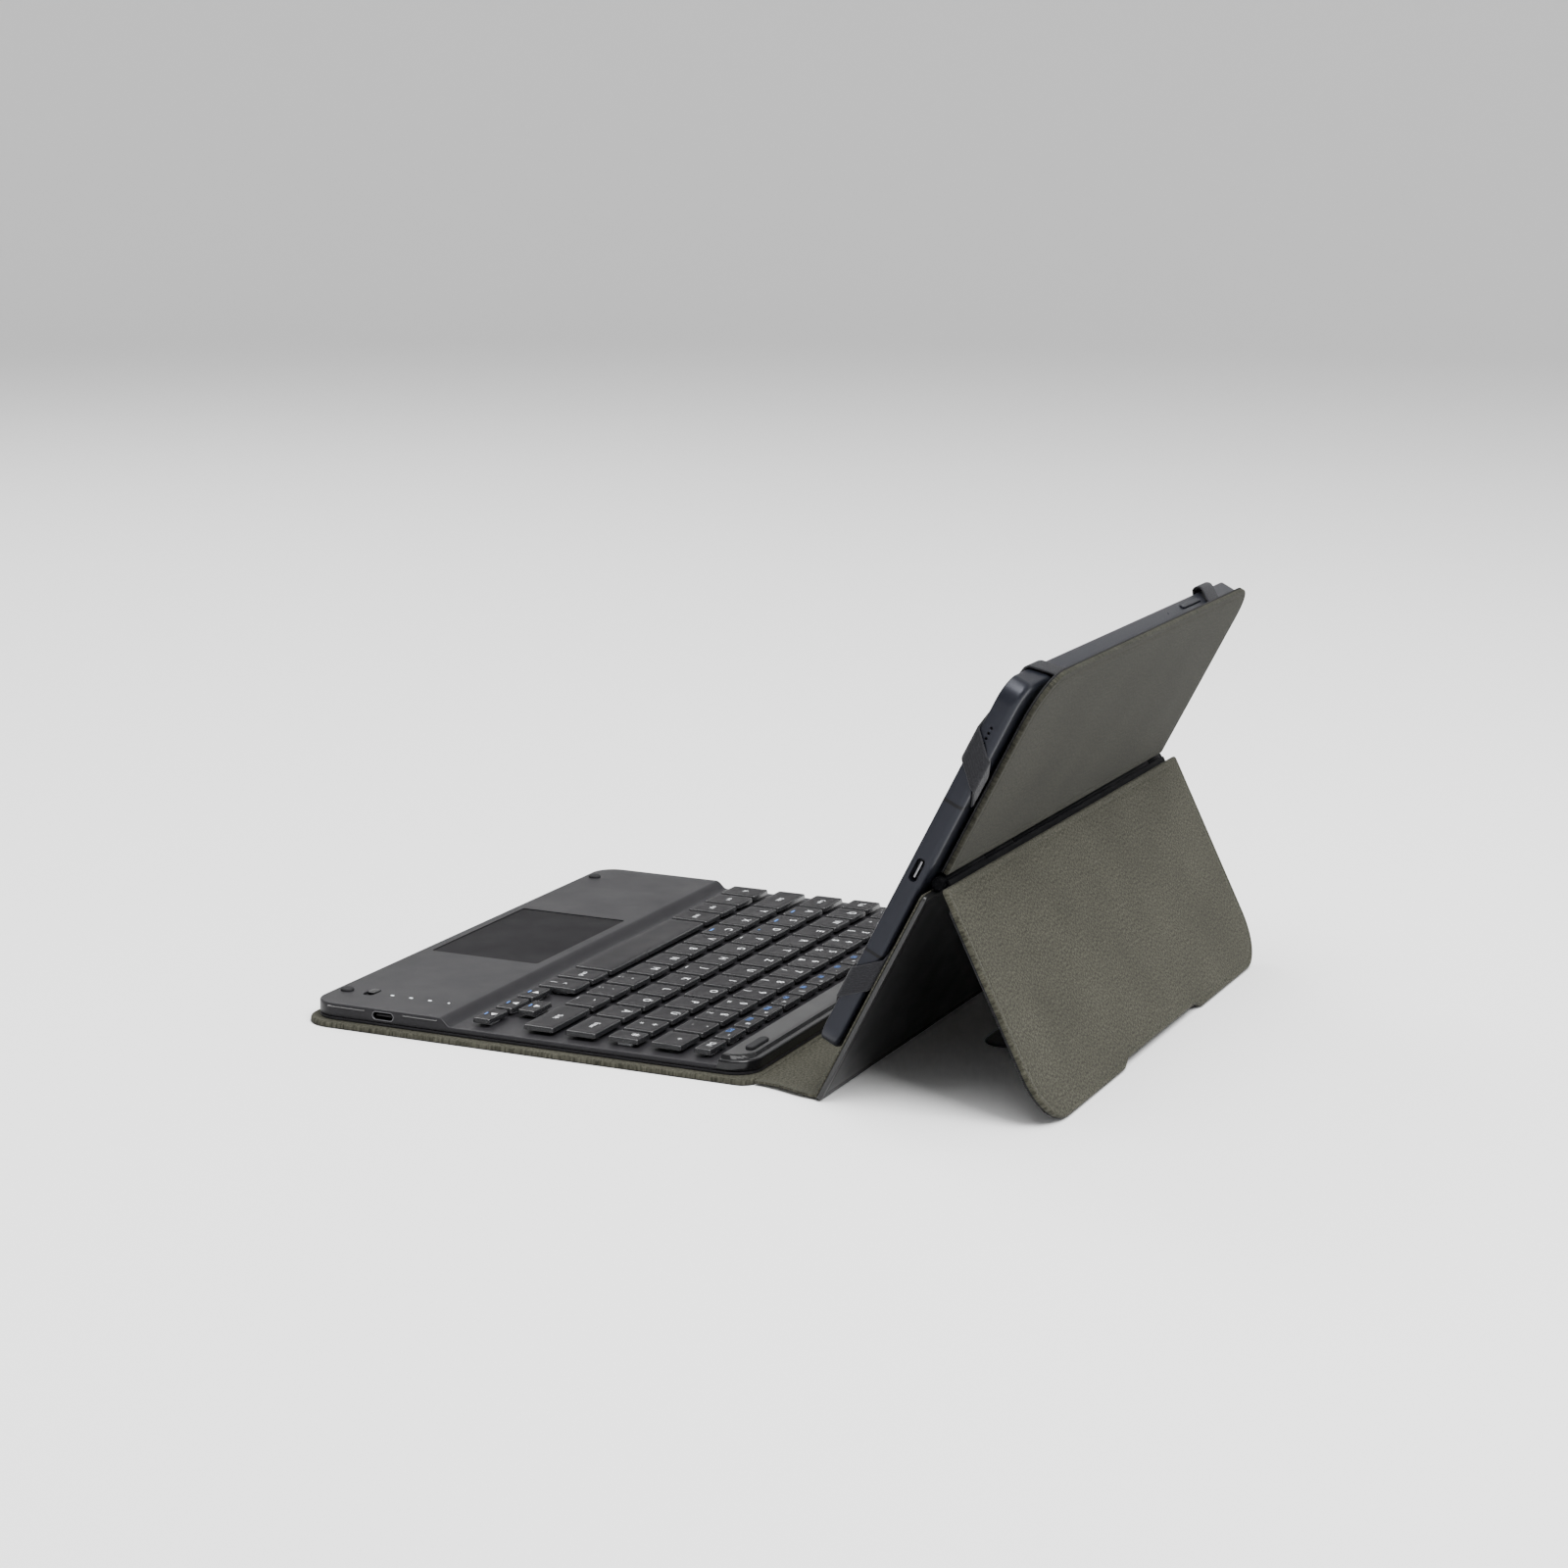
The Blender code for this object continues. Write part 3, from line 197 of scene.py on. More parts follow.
class StageLook(bpy.types.PropertyGroup):
    """Camera and lights."""
    lens: FloatProperty(name="Lens", description="Focal length in millimetres", default=77.24)
    place: FloatVectorProperty(name="Camera", description="Where the camera stands", size=3,
                               subtype="TRANSLATION", unit="LENGTH",
                               default=(1.1460, 0.5016, 0.3458))
    turn: FloatVectorProperty(name="Aim", description="How the camera is turned", size=3,
                              subtype="EULER", unit="ROTATION",
                              default=(radians(78.068), radians(-0.5815), radians(114.048)))
    floor: FloatVectorProperty(name="Floor", description="Colour of the floor", size=4,
                               subtype="COLOR", min=0.0, max=1.0,
                               default=(0.86, 0.86, 0.86, 1.0))


# ---------------------------------------------------------------- surfaces

def rounded_ring(size, radii, inset, arc=9, side=2):
    """Points round a rectangle of a size, pushed in by inset.

    Each corner is centre + r (cos a, sin a) over a quarter turn, starting at -X -Y and going
    anticlockwise; straight sides are shared out evenly between two arcs.
    """
    signs = np.array([(-1, -1), (1, -1), (1, 1), (-1, 1)], float)
    half = np.array(size) / 2 - inset
    share = np.linspace(0.0, 1.0, arc)
    arcs = []
    for corner, (sign, radius) in enumerate(zip(signs, radii)):
        r = max(radius - inset, LEAST_R)
        angle = pi + (corner + share) * pi / 2
        arcs.append(sign * (half - r) + r * np.column_stack([np.cos(angle), np.sin(angle)]))
    between = (np.arange(side)[:, None] + 1) / (side + 1)
    ring = []
    for corner in range(4):
        start, end = arcs[corner][-1], arcs[(corner + 1) % 4][0]
        ring += [arcs[corner], start + between * (end - start)]
    return np.concatenate(ring)


def edge_profile(low, high, low_r, high_r, depth, low_rim=0.0, high_rim=0.0, steps=5):
    """Insets and heights round a board's edge: underside, quarter round, side, quarter round, top.

    A quarter round of radius r has inset r (1 - sin t) and height r (1 - cos t), with t from 0 to a
    quarter turn. A rim is a shallow groove at that inset, where the turned edge ends.
    """
    turn = np.linspace(0.0, pi / 2, steps)
    groove = ((0.0, 0.0), (0.12, 0.07), (0.26, 0.07), (0.5, 0.0))    # across and down, in mm
    rows = [(depth, low)]
    if low_rim:
        rows += [(low_rim + across * MM, low + drop * MM) for across, drop in groove[::-1]]
    rows += list(zip(low_r * (1 - np.sin(turn)), low + low_r * (1 - np.cos(turn))))
    rows += list(zip(high_r * (1 - np.cos(turn)), high - high_r * (1 - np.sin(turn))))
    if high_rim:
        rows += [(high_rim + across * MM, high - drop * MM) for across, drop in groove]
    return rows + [(depth, high)]


def board(size, radii, profile, centre=(0.0, 0.0), **sampling):
    """Rings of one outline, one for each inset and height of the edge profile."""
    rings = []
    for inset, height in profile:
        ring = rounded_ring(size, radii, inset, **sampling) + centre
        rings.append(np.column_stack([ring, np.full(len(ring), height)]))
    return np.stack(rings)


def grid_faces(rows, columns, wrap=False):
    """Quads between neighbouring rows of points; with wrap the last column meets the first."""
    across = np.arange(columns if wrap else columns - 1)
    nearer = np.arange(rows - 1)[:, None] * columns
    a = nearer + across
    b = nearer + (across + 1) % columns
    return np.stack([a, b, b + columns, a + columns], -1).reshape(-1, 4).tolist()


def loft(rings, caps=(True, True)):
    """A closed skin over rings of points, with the first and last ring filled."""
    rows, count, _ = rings.shape
    faces = grid_faces(rows, count, wrap=True)
    if caps[0]:
        faces.append(list(range(count))[::-1])
    if caps[1]:
        faces.append(list(range((rows - 1) * count, rows * count)))
    return rings.reshape(-1, 3), faces


def turned(profile, centre, axis="z", segments=32):
    """A profile of (distance along, radius) turned about an axis through the centre."""
    angle = np.linspace(0.0, 2 * pi, segments, endpoint=False)
    along, radius = np.array(profile, float).T
    round_a = radius[:, None] * np.cos(angle)
    round_b = radius[:, None] * np.sin(angle)
    lift = np.repeat(along[:, None], segments, axis=1)
    order = (round_a, round_b, lift) if axis == "z" else (lift, round_a, round_b)
    return loft(np.stack(order, -1) + centre)


def merged(shape):
    """The same skin with points that fall together made one, and collapsed faces left out."""
    points, faces = shape
    closeness = 1e-4 * MM
    _, first, index = np.unique(np.round(points / closeness), axis=0, return_index=True,
                                return_inverse=True)
    index = index.ravel().tolist()
    kept = []
    for face in faces:
        ring = [index[corner] for corner in face]
        ring = [corner for corner, before in zip(ring, ring[-1:] + ring[:-1]) if corner != before]
        if len(set(ring)) > 2:
            kept.append(ring)
    return points[first], kept


def together(shapes):
    """Several skins as one."""
    points = np.concatenate([np.asarray(shape[0]) for shape in shapes])
    faces = []
    start = 0
    for some, more in shapes:
        faces += [[index + start for index in face] for face in more]
        start += len(some)
    return points, faces


def piece(name, shape, material, body, replaced=(), plane=TABLE, cloth=None):
    """Lay a skin in its place as a named piece that rides on a body.

    The map "cloth" holds each point's own place in the working plane, in metres, unless given.
    """
    points, faces = shape
    axes, origin = plane
    points = np.asarray(points, float)
    mesh = bpy.data.meshes.new(name)
    mesh.from_pydata((points @ axes + origin).tolist(), [], faces)
    corner = np.empty(len(mesh.loops), np.int32)
    mesh.loops.foreach_get("vertex_index", corner)
    layer = mesh.uv_layers.new(name="cloth")
    source = points[:, :2] if cloth is None else cloth
    layer.data.foreach_set("uv", source[corner].astype(np.float32).ravel())
    mesh.shade_smooth()
    mesh.set_sharp_from_angle(angle=SHARP)
    mesh.materials.append(material)
    thing = bpy.data.objects.new(name, mesh)
    bpy.context.scene.collection.objects.link(thing)
    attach(thing, body)
    if replaced:
        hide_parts(*replaced)
    return thing


def cut(thing, shapes):
    """Cut closed shapes out of a piece, and keep the result as its mesh."""
    for points, faces in shapes:
        mesh = bpy.data.meshes.new("cutter")
        mesh.from_pydata(np.asarray(points).tolist(), [], faces)
        tool = bpy.data.objects.new("cutter", mesh)
        bpy.context.scene.collection.objects.link(tool)
        step = thing.modifiers.new("cut", "BOOLEAN")
        step.operation = "DIFFERENCE"
        step.solver = "EXACT"
        step.object = tool
        bpy.context.view_layer.update()
        graph = bpy.context.evaluated_depsgraph_get()
        made = bpy.data.meshes.new_from_object(thing.evaluated_get(graph))
        made.name = thing.name
        thing.modifiers.clear()
        thing.data = made
        bpy.data.objects.remove(tool)


def plan_of(low, high):
    """Size and middle in plan of a box between two corners."""
    return (high.x - low.x, high.y - low.y), ((low.x + high.x) / 2, (low.y + high.y) / 2)


def in_world(shape, plane):
    """A skin with its points moved from a working plane to the world."""
    axes, origin = plane
    return np.asarray(shape[0]) @ axes + origin, shape[1]


# ---------------------------------------------------------------- materials

def node(tree, kind, inputs=None, **settings):
    """Add a node, set its properties, then set each input or link it to an output."""
    made = tree.nodes.new(kind)
    for key, value in settings.items():
        setattr(made, key, value)
    for key, value in (inputs or {}).items():
        if isinstance(value, bpy.types.NodeSocket):
            tree.links.new(value, made.inputs[key])
        else:
            made.inputs[key].default_value = value
    return made


MIX_SHARE, MIX_FIRST, MIX_SECOND, MIX_RESULT = 0, 6, 7, 2


def base_finish(name, **sockets):
    """A new Principled material with its sockets set by name."""
    material = bpy.data.materials.new(name)
    material.use_nodes = True
    shader = material.node_tree.nodes["Principled BSDF"]
    for key, value in sockets.items():
        shader.inputs[key.replace("_", " ").title().replace("Ior", "IOR")].default_value = value
    return material, material.node_tree, shader


def noise(tree, where, scale, detail=4.0, roughness=0.5):
    """A noise pattern read at a place."""
    return node(tree, "ShaderNodeTexNoise",
                {"Vector": where, "Scale": scale, "Detail": detail, "Roughness": roughness})


def ranged(tree, value, low, high, start=0.3, end=0.7):
    """A value carried from start..end to low..high."""
    return node(tree, "ShaderNodeMapRange", {"Value": value, "From Min": start, "From Max": end,
                                             "To Min": low, "To Max": high}).outputs["Result"]


def mixed(tree, share, first, second):
    """Two colours mixed by a share: (1 - share) first + share second."""
    inputs = {MIX_SHARE: share, MIX_FIRST: first, MIX_SECOND: second}
    return node(tree, "ShaderNodeMix", inputs, data_type="RGBA").outputs[MIX_RESULT]


def bumped(tree, shader, height, strength, distance, under=None):
    """Bump from a height; returns the node, which another bump may stand on."""
    inputs = {"Height": height, "Strength": strength, "Distance": distance}
    if under is not None:
        inputs["Normal"] = under.outputs["Normal"]
    made = node(tree, "ShaderNodeBump", inputs)
    tree.links.new(made.outputs["Normal"], shader.inputs["Normal"])
    return made


def toned(colour, share):
    """A colour scaled by a share and held under one, fully opaque."""
    return tuple(min(1.0, share * value) for value in tuple(colour)[:3]) + (1.0,)


def object_place(tree):
    """Object coordinates."""
    return node(tree, "ShaderNodeTexCoord").outputs["Object"]


def cloth_place(tree):
    """The piece's own flat map."""
    return node(tree, "ShaderNodeUVMap", uv_map="cloth").outputs["UV"]


WAVE_STEP = pi / 10     # scale of Blender's wave texture that gives one band each unit


def threads(tree, where, pitch, direction):
    """Rounded ridges across one direction of the flat map: a sine with one period each pitch."""
    return node(tree, "ShaderNodeTexWave",
                {"Vector": where, "Scale": WAVE_STEP / pitch, "Distortion": 0.6, "Detail": 1.0,
                 "Detail Scale": 1.5},
                wave_type="BANDS", bands_direction=direction, wave_profile="SIN").outputs["Fac"]


def canvas(name, colour, pale, pitch, sheen=0.03):
    """Plain-woven fabric: crossed threads, mottled yarn and slow unevenness."""
    material, tree, shader = base_finish(name, roughness=0.86, sheen_weight=sheen, sheen_roughness=0.5,
                                         specular_ior_level=0.08)
    where = cloth_place(tree)
    warp = threads(tree, where, pitch, "X")
    weft = threads(tree, where, pitch, "Y")
    weave = node(tree, "ShaderNodeMath", {0: warp, 1: weft}, operation="MULTIPLY").outputs[0]
    melange = noise(tree, where, 1050.0, 2.0, 0.8).outputs["Fac"]
    slow = noise(tree, where, 26.0, 3.0, 0.55).outputs["Fac"]
    yarn = mixed(tree, ranged(tree, melange, 0.0, 1.0, 0.36, 0.66), colour, pale)
    worn = mixed(tree, ranged(tree, slow, 0.0, 0.28), yarn, toned(colour, 0.62))
    tree.links.new(worn, shader.inputs["Base Color"])
    tree.links.new(ranged(tree, melange, 0.80, 0.94), shader.inputs["Roughness"])
    coarse = bumped(tree, shader, slow, 0.05, 0.0004)
    bumped(tree, shader, weave, 0.30, 0.00007, coarse)
    return material


def grained(name, colour, roughness, grain=5200.0, depth=0.00004, level=0.5):
    """Moulded plastic or coated board with a fine spark-eroded grain and slow gloss changes."""
    material, tree, shader = base_finish(name, roughness=roughness, specular_ior_level=level)
    where = object_place(tree)
    fine = noise(tree, where, grain, 2.0, 0.6).outputs["Fac"]
    slow = noise(tree, where, 38.0, 3.0, 0.5).outputs["Fac"]
    tree.links.new(mixed(tree, ranged(tree, fine, 0.0, 1.0), colour, toned(colour, 1.28)),
                   shader.inputs["Base Color"])
    tree.links.new(ranged(tree, slow, roughness - 0.05, roughness + 0.05), shader.inputs["Roughness"])
    bumped(tree, shader, fine, 0.5, depth)
    return material


def enamel(name, colour, roughness, metallic=0.0, coat=0.2, level=0.5):
    """Glossy lacquer or anodised metal with a faint orange-peel."""
    material, tree, shader = base_finish(name, metallic=metallic, coat_weight=coat, coat_roughness=0.12,
                                         specular_ior_level=level)
    where = object_place(tree)
    peel = noise(tree, where, 900.0, 2.0, 0.5).outputs["Fac"]
    slow = noise(tree, where, 60.0, 2.0, 0.5).outputs["Fac"]
    tree.links.new(mixed(tree, slow, colour, toned(colour, 1.15)), shader.inputs["Base Color"])
    tree.links.new(ranged(tree, slow, roughness - 0.04, roughness + 0.05), shader.inputs["Roughness"])
    bumped(tree, shader, peel, 0.12, 0.00003)
    return material


AERIAL_HALF = 0.6 * MM
AERIAL_COLOUR = (0.0035, 0.0035, 0.0042, 1.0)
AERIAL_HEIGHTS = (0.119, 0.058)


def anodised(name, colour, lines):
    """Bead-blasted anodised metal, crossed by the thin plastic aerial lines at given heights."""
    material, tree, shader = base_finish(name, metallic=0.35, roughness=0.34, specular_ior_level=0.22)
    fine = noise(tree, object_place(tree), 7000.0, 2.0, 0.5).outputs["Fac"]
    metal = mixed(tree, ranged(tree, fine, 0.0, 1.0), colour, toned(colour, 1.25))
    height = node(tree, "ShaderNodeSeparateXYZ", {0: cloth_place(tree)}).outputs["Y"]
    for line in lines:
        away = node(tree, "ShaderNodeMath", {0: height, 1: line}, operation="SUBTRACT").outputs[0]
        near = node(tree, "ShaderNodeMath", {0: away, 1: 0.0, 2: AERIAL_HALF},
                    operation="COMPARE").outputs[0]
        metal = mixed(tree, near, metal, AERIAL_COLOUR)
    tree.links.new(metal, shader.inputs["Base Color"])
    tree.links.new(ranged(tree, fine, 0.30, 0.38), shader.inputs["Roughness"])
    bumped(tree, shader, fine, 0.25, 0.00003)
    return material


def knitted(name, colour):
    """Knitted elastic: fine ribs along the band and short courses across it."""
    material, tree, shader = base_finish(name, roughness=0.88, sheen_weight=0.12, sheen_roughness=0.4,
                                         specular_ior_level=0.15)
    where = cloth_place(tree)
    ribs = threads(tree, where, 0.9 * MM, "Y")
    courses = threads(tree, where, 0.55 * MM, "X")
    fuzz = noise(tree, where, 1500.0, 3.0, 0.7).outputs["Fac"]
    tree.links.new(mixed(tree, ranged(tree, fuzz, 0.0, 1.0), colour, toned(colour, 1.9)),
                   shader.inputs["Base Color"])
    first = bumped(tree, shader, ribs, 0.6, 0.00015)
    bumped(tree, shader, courses, 0.4, 0.00008, first)
    return material


def printed(name, colour):
    """Silk-screened ink, a little uneven."""
    material, tree, shader = base_finish(name, roughness=0.55)
    patchy = noise(tree, object_place(tree), 2500.0, 2.0, 0.5).outputs["Fac"]
    tree.links.new(mixed(tree, ranged(tree, patchy, 0.0, 1.0), colour, toned(colour, 0.82)),
                   shader.inputs["Base Color"])
    tree.links.new(ranged(tree, patchy, 0.48, 0.62), shader.inputs["Roughness"])
    return material


def display(name, size, centre, bezel):
    """Cover glass over a dark display, with a blacker border and faint smears."""
    material, tree, shader = base_finish(name, roughness=0.05, specular_ior_level=0.25, coat_weight=0.1,
                                         coat_roughness=0.03)
    where = node(tree, "ShaderNodeSeparateXYZ", {0: cloth_place(tree)})
    inside = None
    for axis in (0, 1):
        away = node(tree, "ShaderNodeMath", {0: where.outputs[axis], 1: centre[axis],
                                             2: size[axis] / 2 - bezel}, operation="COMPARE").outputs[0]
        inside = away if inside is None else node(
            tree, "ShaderNodeMath", {0: inside, 1: away}, operation="MULTIPLY").outputs[0]
    tree.links.new(mixed(tree, inside, (0.0015, 0.0015, 0.0015, 1.0), (0.0045, 0.0045, 0.0055, 1.0)),
                   shader.inputs["Base Color"])
    smear = noise(tree, cloth_place(tree), 30.0, 4.0, 0.6).outputs["Fac"]
    tree.links.new(ranged(tree, smear, 0.03, 0.10), shader.inputs["Roughness"])
    return material


def glowing(name):
    """Milky light guide."""
    material, tree, shader = base_finish(name, roughness=0.25, emission_strength=0.6)
    cloudy = noise(tree, object_place(tree), 800.0).outputs["Fac"]
    tree.links.new(mixed(tree, cloudy, (0.80, 0.86, 0.90, 1.0), (0.92, 0.95, 0.97, 1.0)),
                   shader.inputs["Base Color"])
    shader.inputs["Emission Color"].default_value = (0.85, 0.92, 1.0, 1.0)
    return material


MATERIALS = {}


def make_materials(scene):
    """Every finish, made once from the settings."""
    cloth = scene.case_cloth
    keyboard = scene.case_keyboard
    tablet = scene.case_tablet
    olive = tuple(cloth.olive)
    low, high = in_plane("tablet_glass", BACK)
    size, centre = high[:2] - low[:2], (high[:2] + low[:2]) / 2
    MATERIALS.update({
        "fabric": canvas("olive_fabric", olive, tuple(cloth.pale), cloth.thread),
        # Painted shade: a darkened copy of the fabric for the upper panel, standing in for its shade.
        "upper shaded fabric": canvas("olive_fabric_painted_shade", toned(olive, cloth.upper_painted_shade),
                               toned(cloth.pale, cloth.upper_painted_shade), cloth.thread),
        "lining": canvas("dark_lining", (0.009, 0.009, 0.010, 1), (0.020, 0.020, 0.021, 1),
                         cloth.thread, 0.05),
        "board": grained("black_board", (0.006, 0.006, 0.0062, 1), 0.40, 3000.0, 0.00005, 0.40),
        "body": grained("black_plastic", tuple(keyboard.plastic), 0.42, level=0.13),
        "pad": grained("touch_surface", (0.0045, 0.004, 0.005, 1), 0.50, 7000.0, 0.00002, 0.05),
        "key": grained("keycap_plastic", tuple(keyboard.keycap), 0.36, 6500.0, 0.00002, 0.08),
        "gloss": enamel("gloss_black", (0.004, 0.004, 0.0045, 1), 0.22, coat=0.05, level=0.25),
        "trim": enamel("polished_trim", (0.016, 0.016, 0.017, 1), 0.16, coat=0.9, level=0.9),
        "edge": enamel("polished_edge", (0.008, 0.008, 0.009, 1), 0.24, coat=0.0, level=0.55),
        "port": enamel("port_metal", (0.09, 0.09, 0.095, 1), 0.30, 1.0),
        "rubber": grained("rubber", (0.008, 0.008, 0.009, 1), 0.70, 4000.0, level=0.2),
        "barrel": enamel("barrel_black", (0.003, 0.003, 0.0035, 1), 0.46, coat=0.0, level=0.02),
        "steel": enamel("bright_steel", (0.22, 0.22, 0.23, 1), 0.30, 1.0),
        "metal": anodised("tablet_metal", tuple(tablet.metal), AERIAL_HEIGHTS),
        "glass": display("display_glass", size, centre, tablet.bezel),
        "elastic": knitted("knitted_elastic", tuple(cloth.elastic)),
        "ink": printed("legend_ink", tuple(keyboard.legend)),
        "blue": printed("second_ink", tuple(keyboard.second)),
        "light": glowing("light_guide"),
        "clear": grained("clear_guide", (0.42, 0.43, 0.44, 1), 0.30),
        "circuit": grained("circuit_green", (0.02, 0.12, 0.05, 1), 0.50, 2500.0),
        "foil": enamel("battery_foil", (0.25, 0.25, 0.26, 1), 0.40, 0.6),
        "film": grained("membrane_film", (0.50, 0.52, 0.54, 1), 0.30),
    })


# ---------------------------------------------------------------- keyboard body

COVER_FRONT_R, COVER_BACK_R = 0.012, 0.006
COVER_PROUD = 0.2 * MM


def make_cover(look):
    """Fabric-faced board: a rounded outline with a fully rounded upper edge, and a dark lower rim, a
    strip of painted shade along its foot.
    """
    low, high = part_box("keyboard_cover")
    size = (high.x - low.x, high.y - low.y)
    radii = (COVER_FRONT_R, COVER_FRONT_R, COVER_BACK_R, COVER_BACK_R)
    profile = edge_profile(low.z, high.z, 0.25 * MM, 0.95 * MM, 4 * MM)
    shape = loft(board(size, radii, profile, centre=(0.0, (low.y + high.y) / 2)))
    piece("cover_board", shape, MATERIALS["fabric"], "keyboard", ("keyboard_cover",))
    # Painted shade: a dark lining strip round the foot of the board, standing in for the shadow along
    # its bottom edge.
    lower = edge_profile(low.z, low.z + 0.35 * MM, 0.1 * MM, 0.1 * MM, 1 * MM)
    grown = (size[0] + COVER_PROUD, size[1] + COVER_PROUD)
    rim = board(grown, radii, lower, centre=(0.0, (low.y + high.y) / 2))
    piece("cover_shade_rim", loft(rim), MATERIALS["lining"], "keyboard")


DECK_LOW, DECK_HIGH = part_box("keyboard_deck")
DECK_R = 10.0 * MM
PALM_TOP = DECK_HIGH.z - 0.2 * MM
FLOOR_TOP = PALM_TOP - 3.1 * MM
PALM_DEPTH = 54.7 * MM
SLOPE_DEPTH = 5.0 * MM
LEDGE_DEPTH = 13.3 * MM
LEDGE_RIM = 1.9 * MM
LEDGE_RUN = 0.9 * MM
RIM_RUN = 1.3 * MM
RIM_SHARE = 0.62
DECK_EDGE_R = 0.85 * MM


def deck_height(y, inward):
    """Height of the deck: palm rest, a half cosine down, key floor, a step up to the ledge.

    The step follows 3 s^2 - 2 s^3, with s from 0 to 1 over its run. The ledge stands on a lower
    rim, whose width is measured inward from the outline, and rises from it in the same way.
    """
    behind = y - DECK_LOW.y
    share = np.clip((behind - PALM_DEPTH) / SLOPE_DEPTH, 0.0, 1.0)
    height = PALM_TOP - (PALM_TOP - FLOOR_TOP) * (1 - np.cos(pi * share)) / 2
    to_back = DECK_HIGH.y - y
    step = np.clip((LEDGE_DEPTH - to_back) / LEDGE_RUN, 0.0, 1.0)
    step = step * step * (3 - 2 * step)
    raised = np.clip((inward - LEDGE_RIM) / RIM_RUN, 0.0, 1.0)
    raised = raised * raised * (3 - 2 * raised)
    return height + step * (DECK_HIGH.z - FLOOR_TOP) * (RIM_SHARE + (1 - RIM_SHARE) * raised)


def corner_lines(radius, edge):
    """Distances from a straight side, dense at the edge and even round the corner arc."""
    arc = radius * (1 - np.cos(np.linspace(0.0, pi / 2, 13)))
    return np.unique(np.round(np.concatenate([edge * np.array([0, .08, .2, .4, .7, 1.0]), arc]), 7))


def deck_grid():
    """Grid of the deck's top: lines dense at edges, squeezed to the rounded outline near each corner."""
    half = (DECK_HIGH.x - DECK_LOW.x) / 2
    depth = DECK_HIGH.y - DECK_LOW.y
    near_side = corner_lines(DECK_R, 1.6 * MM)
    inner = np.linspace(0.0, half - DECK_R - 2 * MM, 14)
    right = np.unique(np.concatenate([inner, half - near_side]))
    x_line = np.concatenate([-right[:0:-1], right])
    slope = PALM_DEPTH + SLOPE_DEPTH * np.linspace(-0.1, 1.1, 13)
    step = depth - LEDGE_DEPTH + np.linspace(-0.2, 1.1, 8) * MM
    middle = np.linspace(DECK_R, depth - DECK_R, 30)
    y_line = np.unique(np.concatenate([near_side, depth - near_side, slope, step, middle]))
    x, y = np.meshgrid(x_line, y_line)
    to_end = np.minimum(y, depth - y)
    reach = np.sqrt(np.clip(DECK_R ** 2 - np.clip(DECK_R - to_end, 0.0, None) ** 2, 0.0, None))
    limit = half - DECK_R + reach
    free = half - DECK_R - 3 * MM
    beyond = np.clip(np.abs(x) - free, 0.0, None)
    squeezed = np.minimum(np.abs(x), free) + beyond * (limit - free) / (half - free)
    return np.sign(x) * squeezed, y + DECK_LOW.y


def outline_distance(x, y):
    """Distance in from the deck's rounded outline."""
    half = np.array([(DECK_HIGH.x - DECK_LOW.x) / 2, (DECK_HIGH.y - DECK_LOW.y) / 2])
    middle = (DECK_HIGH.y + DECK_LOW.y) / 2
    corner = np.stack([np.abs(x), np.abs(y - middle)], -1) - (half - DECK_R)
    outside = np.linalg.norm(np.clip(corner, 0.0, None), axis=-1)
    inside = np.minimum(corner.max(-1), 0.0)
    return np.clip(DECK_R - outside - inside, 0.0, None)


def ring_of(values):
    """The border of a grid, anticlockwise from its first corner."""
    return np.concatenate([values[0, :-1], values[:-1, -1], values[-1, :0:-1], values[:0:-1, 0]])


def make_deck(look):
    """Top case: one height field with rounded edges, a wall round it, and its openings cut out.

    At a distance d in from the outline the edge lies r (1 - sqrt(1 - (1 - d/r)^2)) below the top.
    """
    x, y = deck_grid()
    inward = outline_distance(x, y)
    top = deck_height(y, inward)
    inset = np.clip(inward / DECK_EDGE_R, 0.0, 1.0)
    z = top - DECK_EDGE_R * (1 - np.sqrt(np.clip(1 - (1 - inset) ** 2, 0.0, 1.0)))
    rows, columns = x.shape
    surface = np.stack([x, y, z], -1).reshape(-1, 3)
    faces = grid_faces(rows, columns)
    index = ring_of(np.arange(rows * columns).reshape(rows, columns))
    edge = surface[index]
    low = DECK_LOW.z
    walls = [edge]
    for height, shift in ((low + 0.5 * MM, 0.0), (low, 0.3 * MM)):
        ring = edge.copy()
        ring[:, 2] = np.minimum(height, edge[:, 2])
        ring[:, :2] *= 1 - shift / (DECK_HIGH.x - DECK_LOW.x)
        walls.append(ring)
    count = len(index)
    start = len(surface)
    points = np.concatenate([surface, walls[1], walls[2]])
    around = np.arange(count)
    after = (around + 1) % count
    lower = start + around
    faces += np.stack([lower, start + after, index[after], index[around]], -1).tolist()
    faces += np.stack([lower + count, start + count + after, start + after, lower], -1).tolist()
    faces.append((start + count + around).tolist()[::-1])
    deck = piece("deck", (points, faces), MATERIALS["body"], "keyboard",
                 ("keyboard_deck",))
    cut(deck, [touchpad_shape(0.25 * MM, -0.9 * MM, 1 * MM), slot_shape(), port_hole()])
    mesh = deck.data
    mesh.shade_smooth()
    mesh.set_sharp_from_angle(angle=CUT_SHARP)
    mesh.materials.append(MATERIALS["gloss"])
    centre = np.empty(len(mesh.polygons) * 3, np.float32)
    mesh.polygons.foreach_get("center", centre)
    on_ledge = centre.reshape(-1, 3)[:, 1] > DECK_HIGH.y - LEDGE_DEPTH - 0.2 * MM
    mesh.polygons.foreach_set("material_index", on_ledge.astype(np.int32))


def touchpad_shape(grow, low, high):
    """The touchpad's plan between two heights from the palm rest."""
    corner_low, corner_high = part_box("touchpad")
    size = (corner_high.x - corner_low.x + 2 * grow, corner_high.y - corner_low.y + 2 * grow)
    centre = ((corner_low.x + corner_high.x) / 2, (corner_low.y + corner_high.y) / 2)
    profile = edge_profile(PALM_TOP + low, PALM_TOP + high, 0.05 * MM, 0.12 * MM, 0.4 * MM)
    return loft(board(size, (1.2 * MM,) * 4, profile, centre, arc=6))


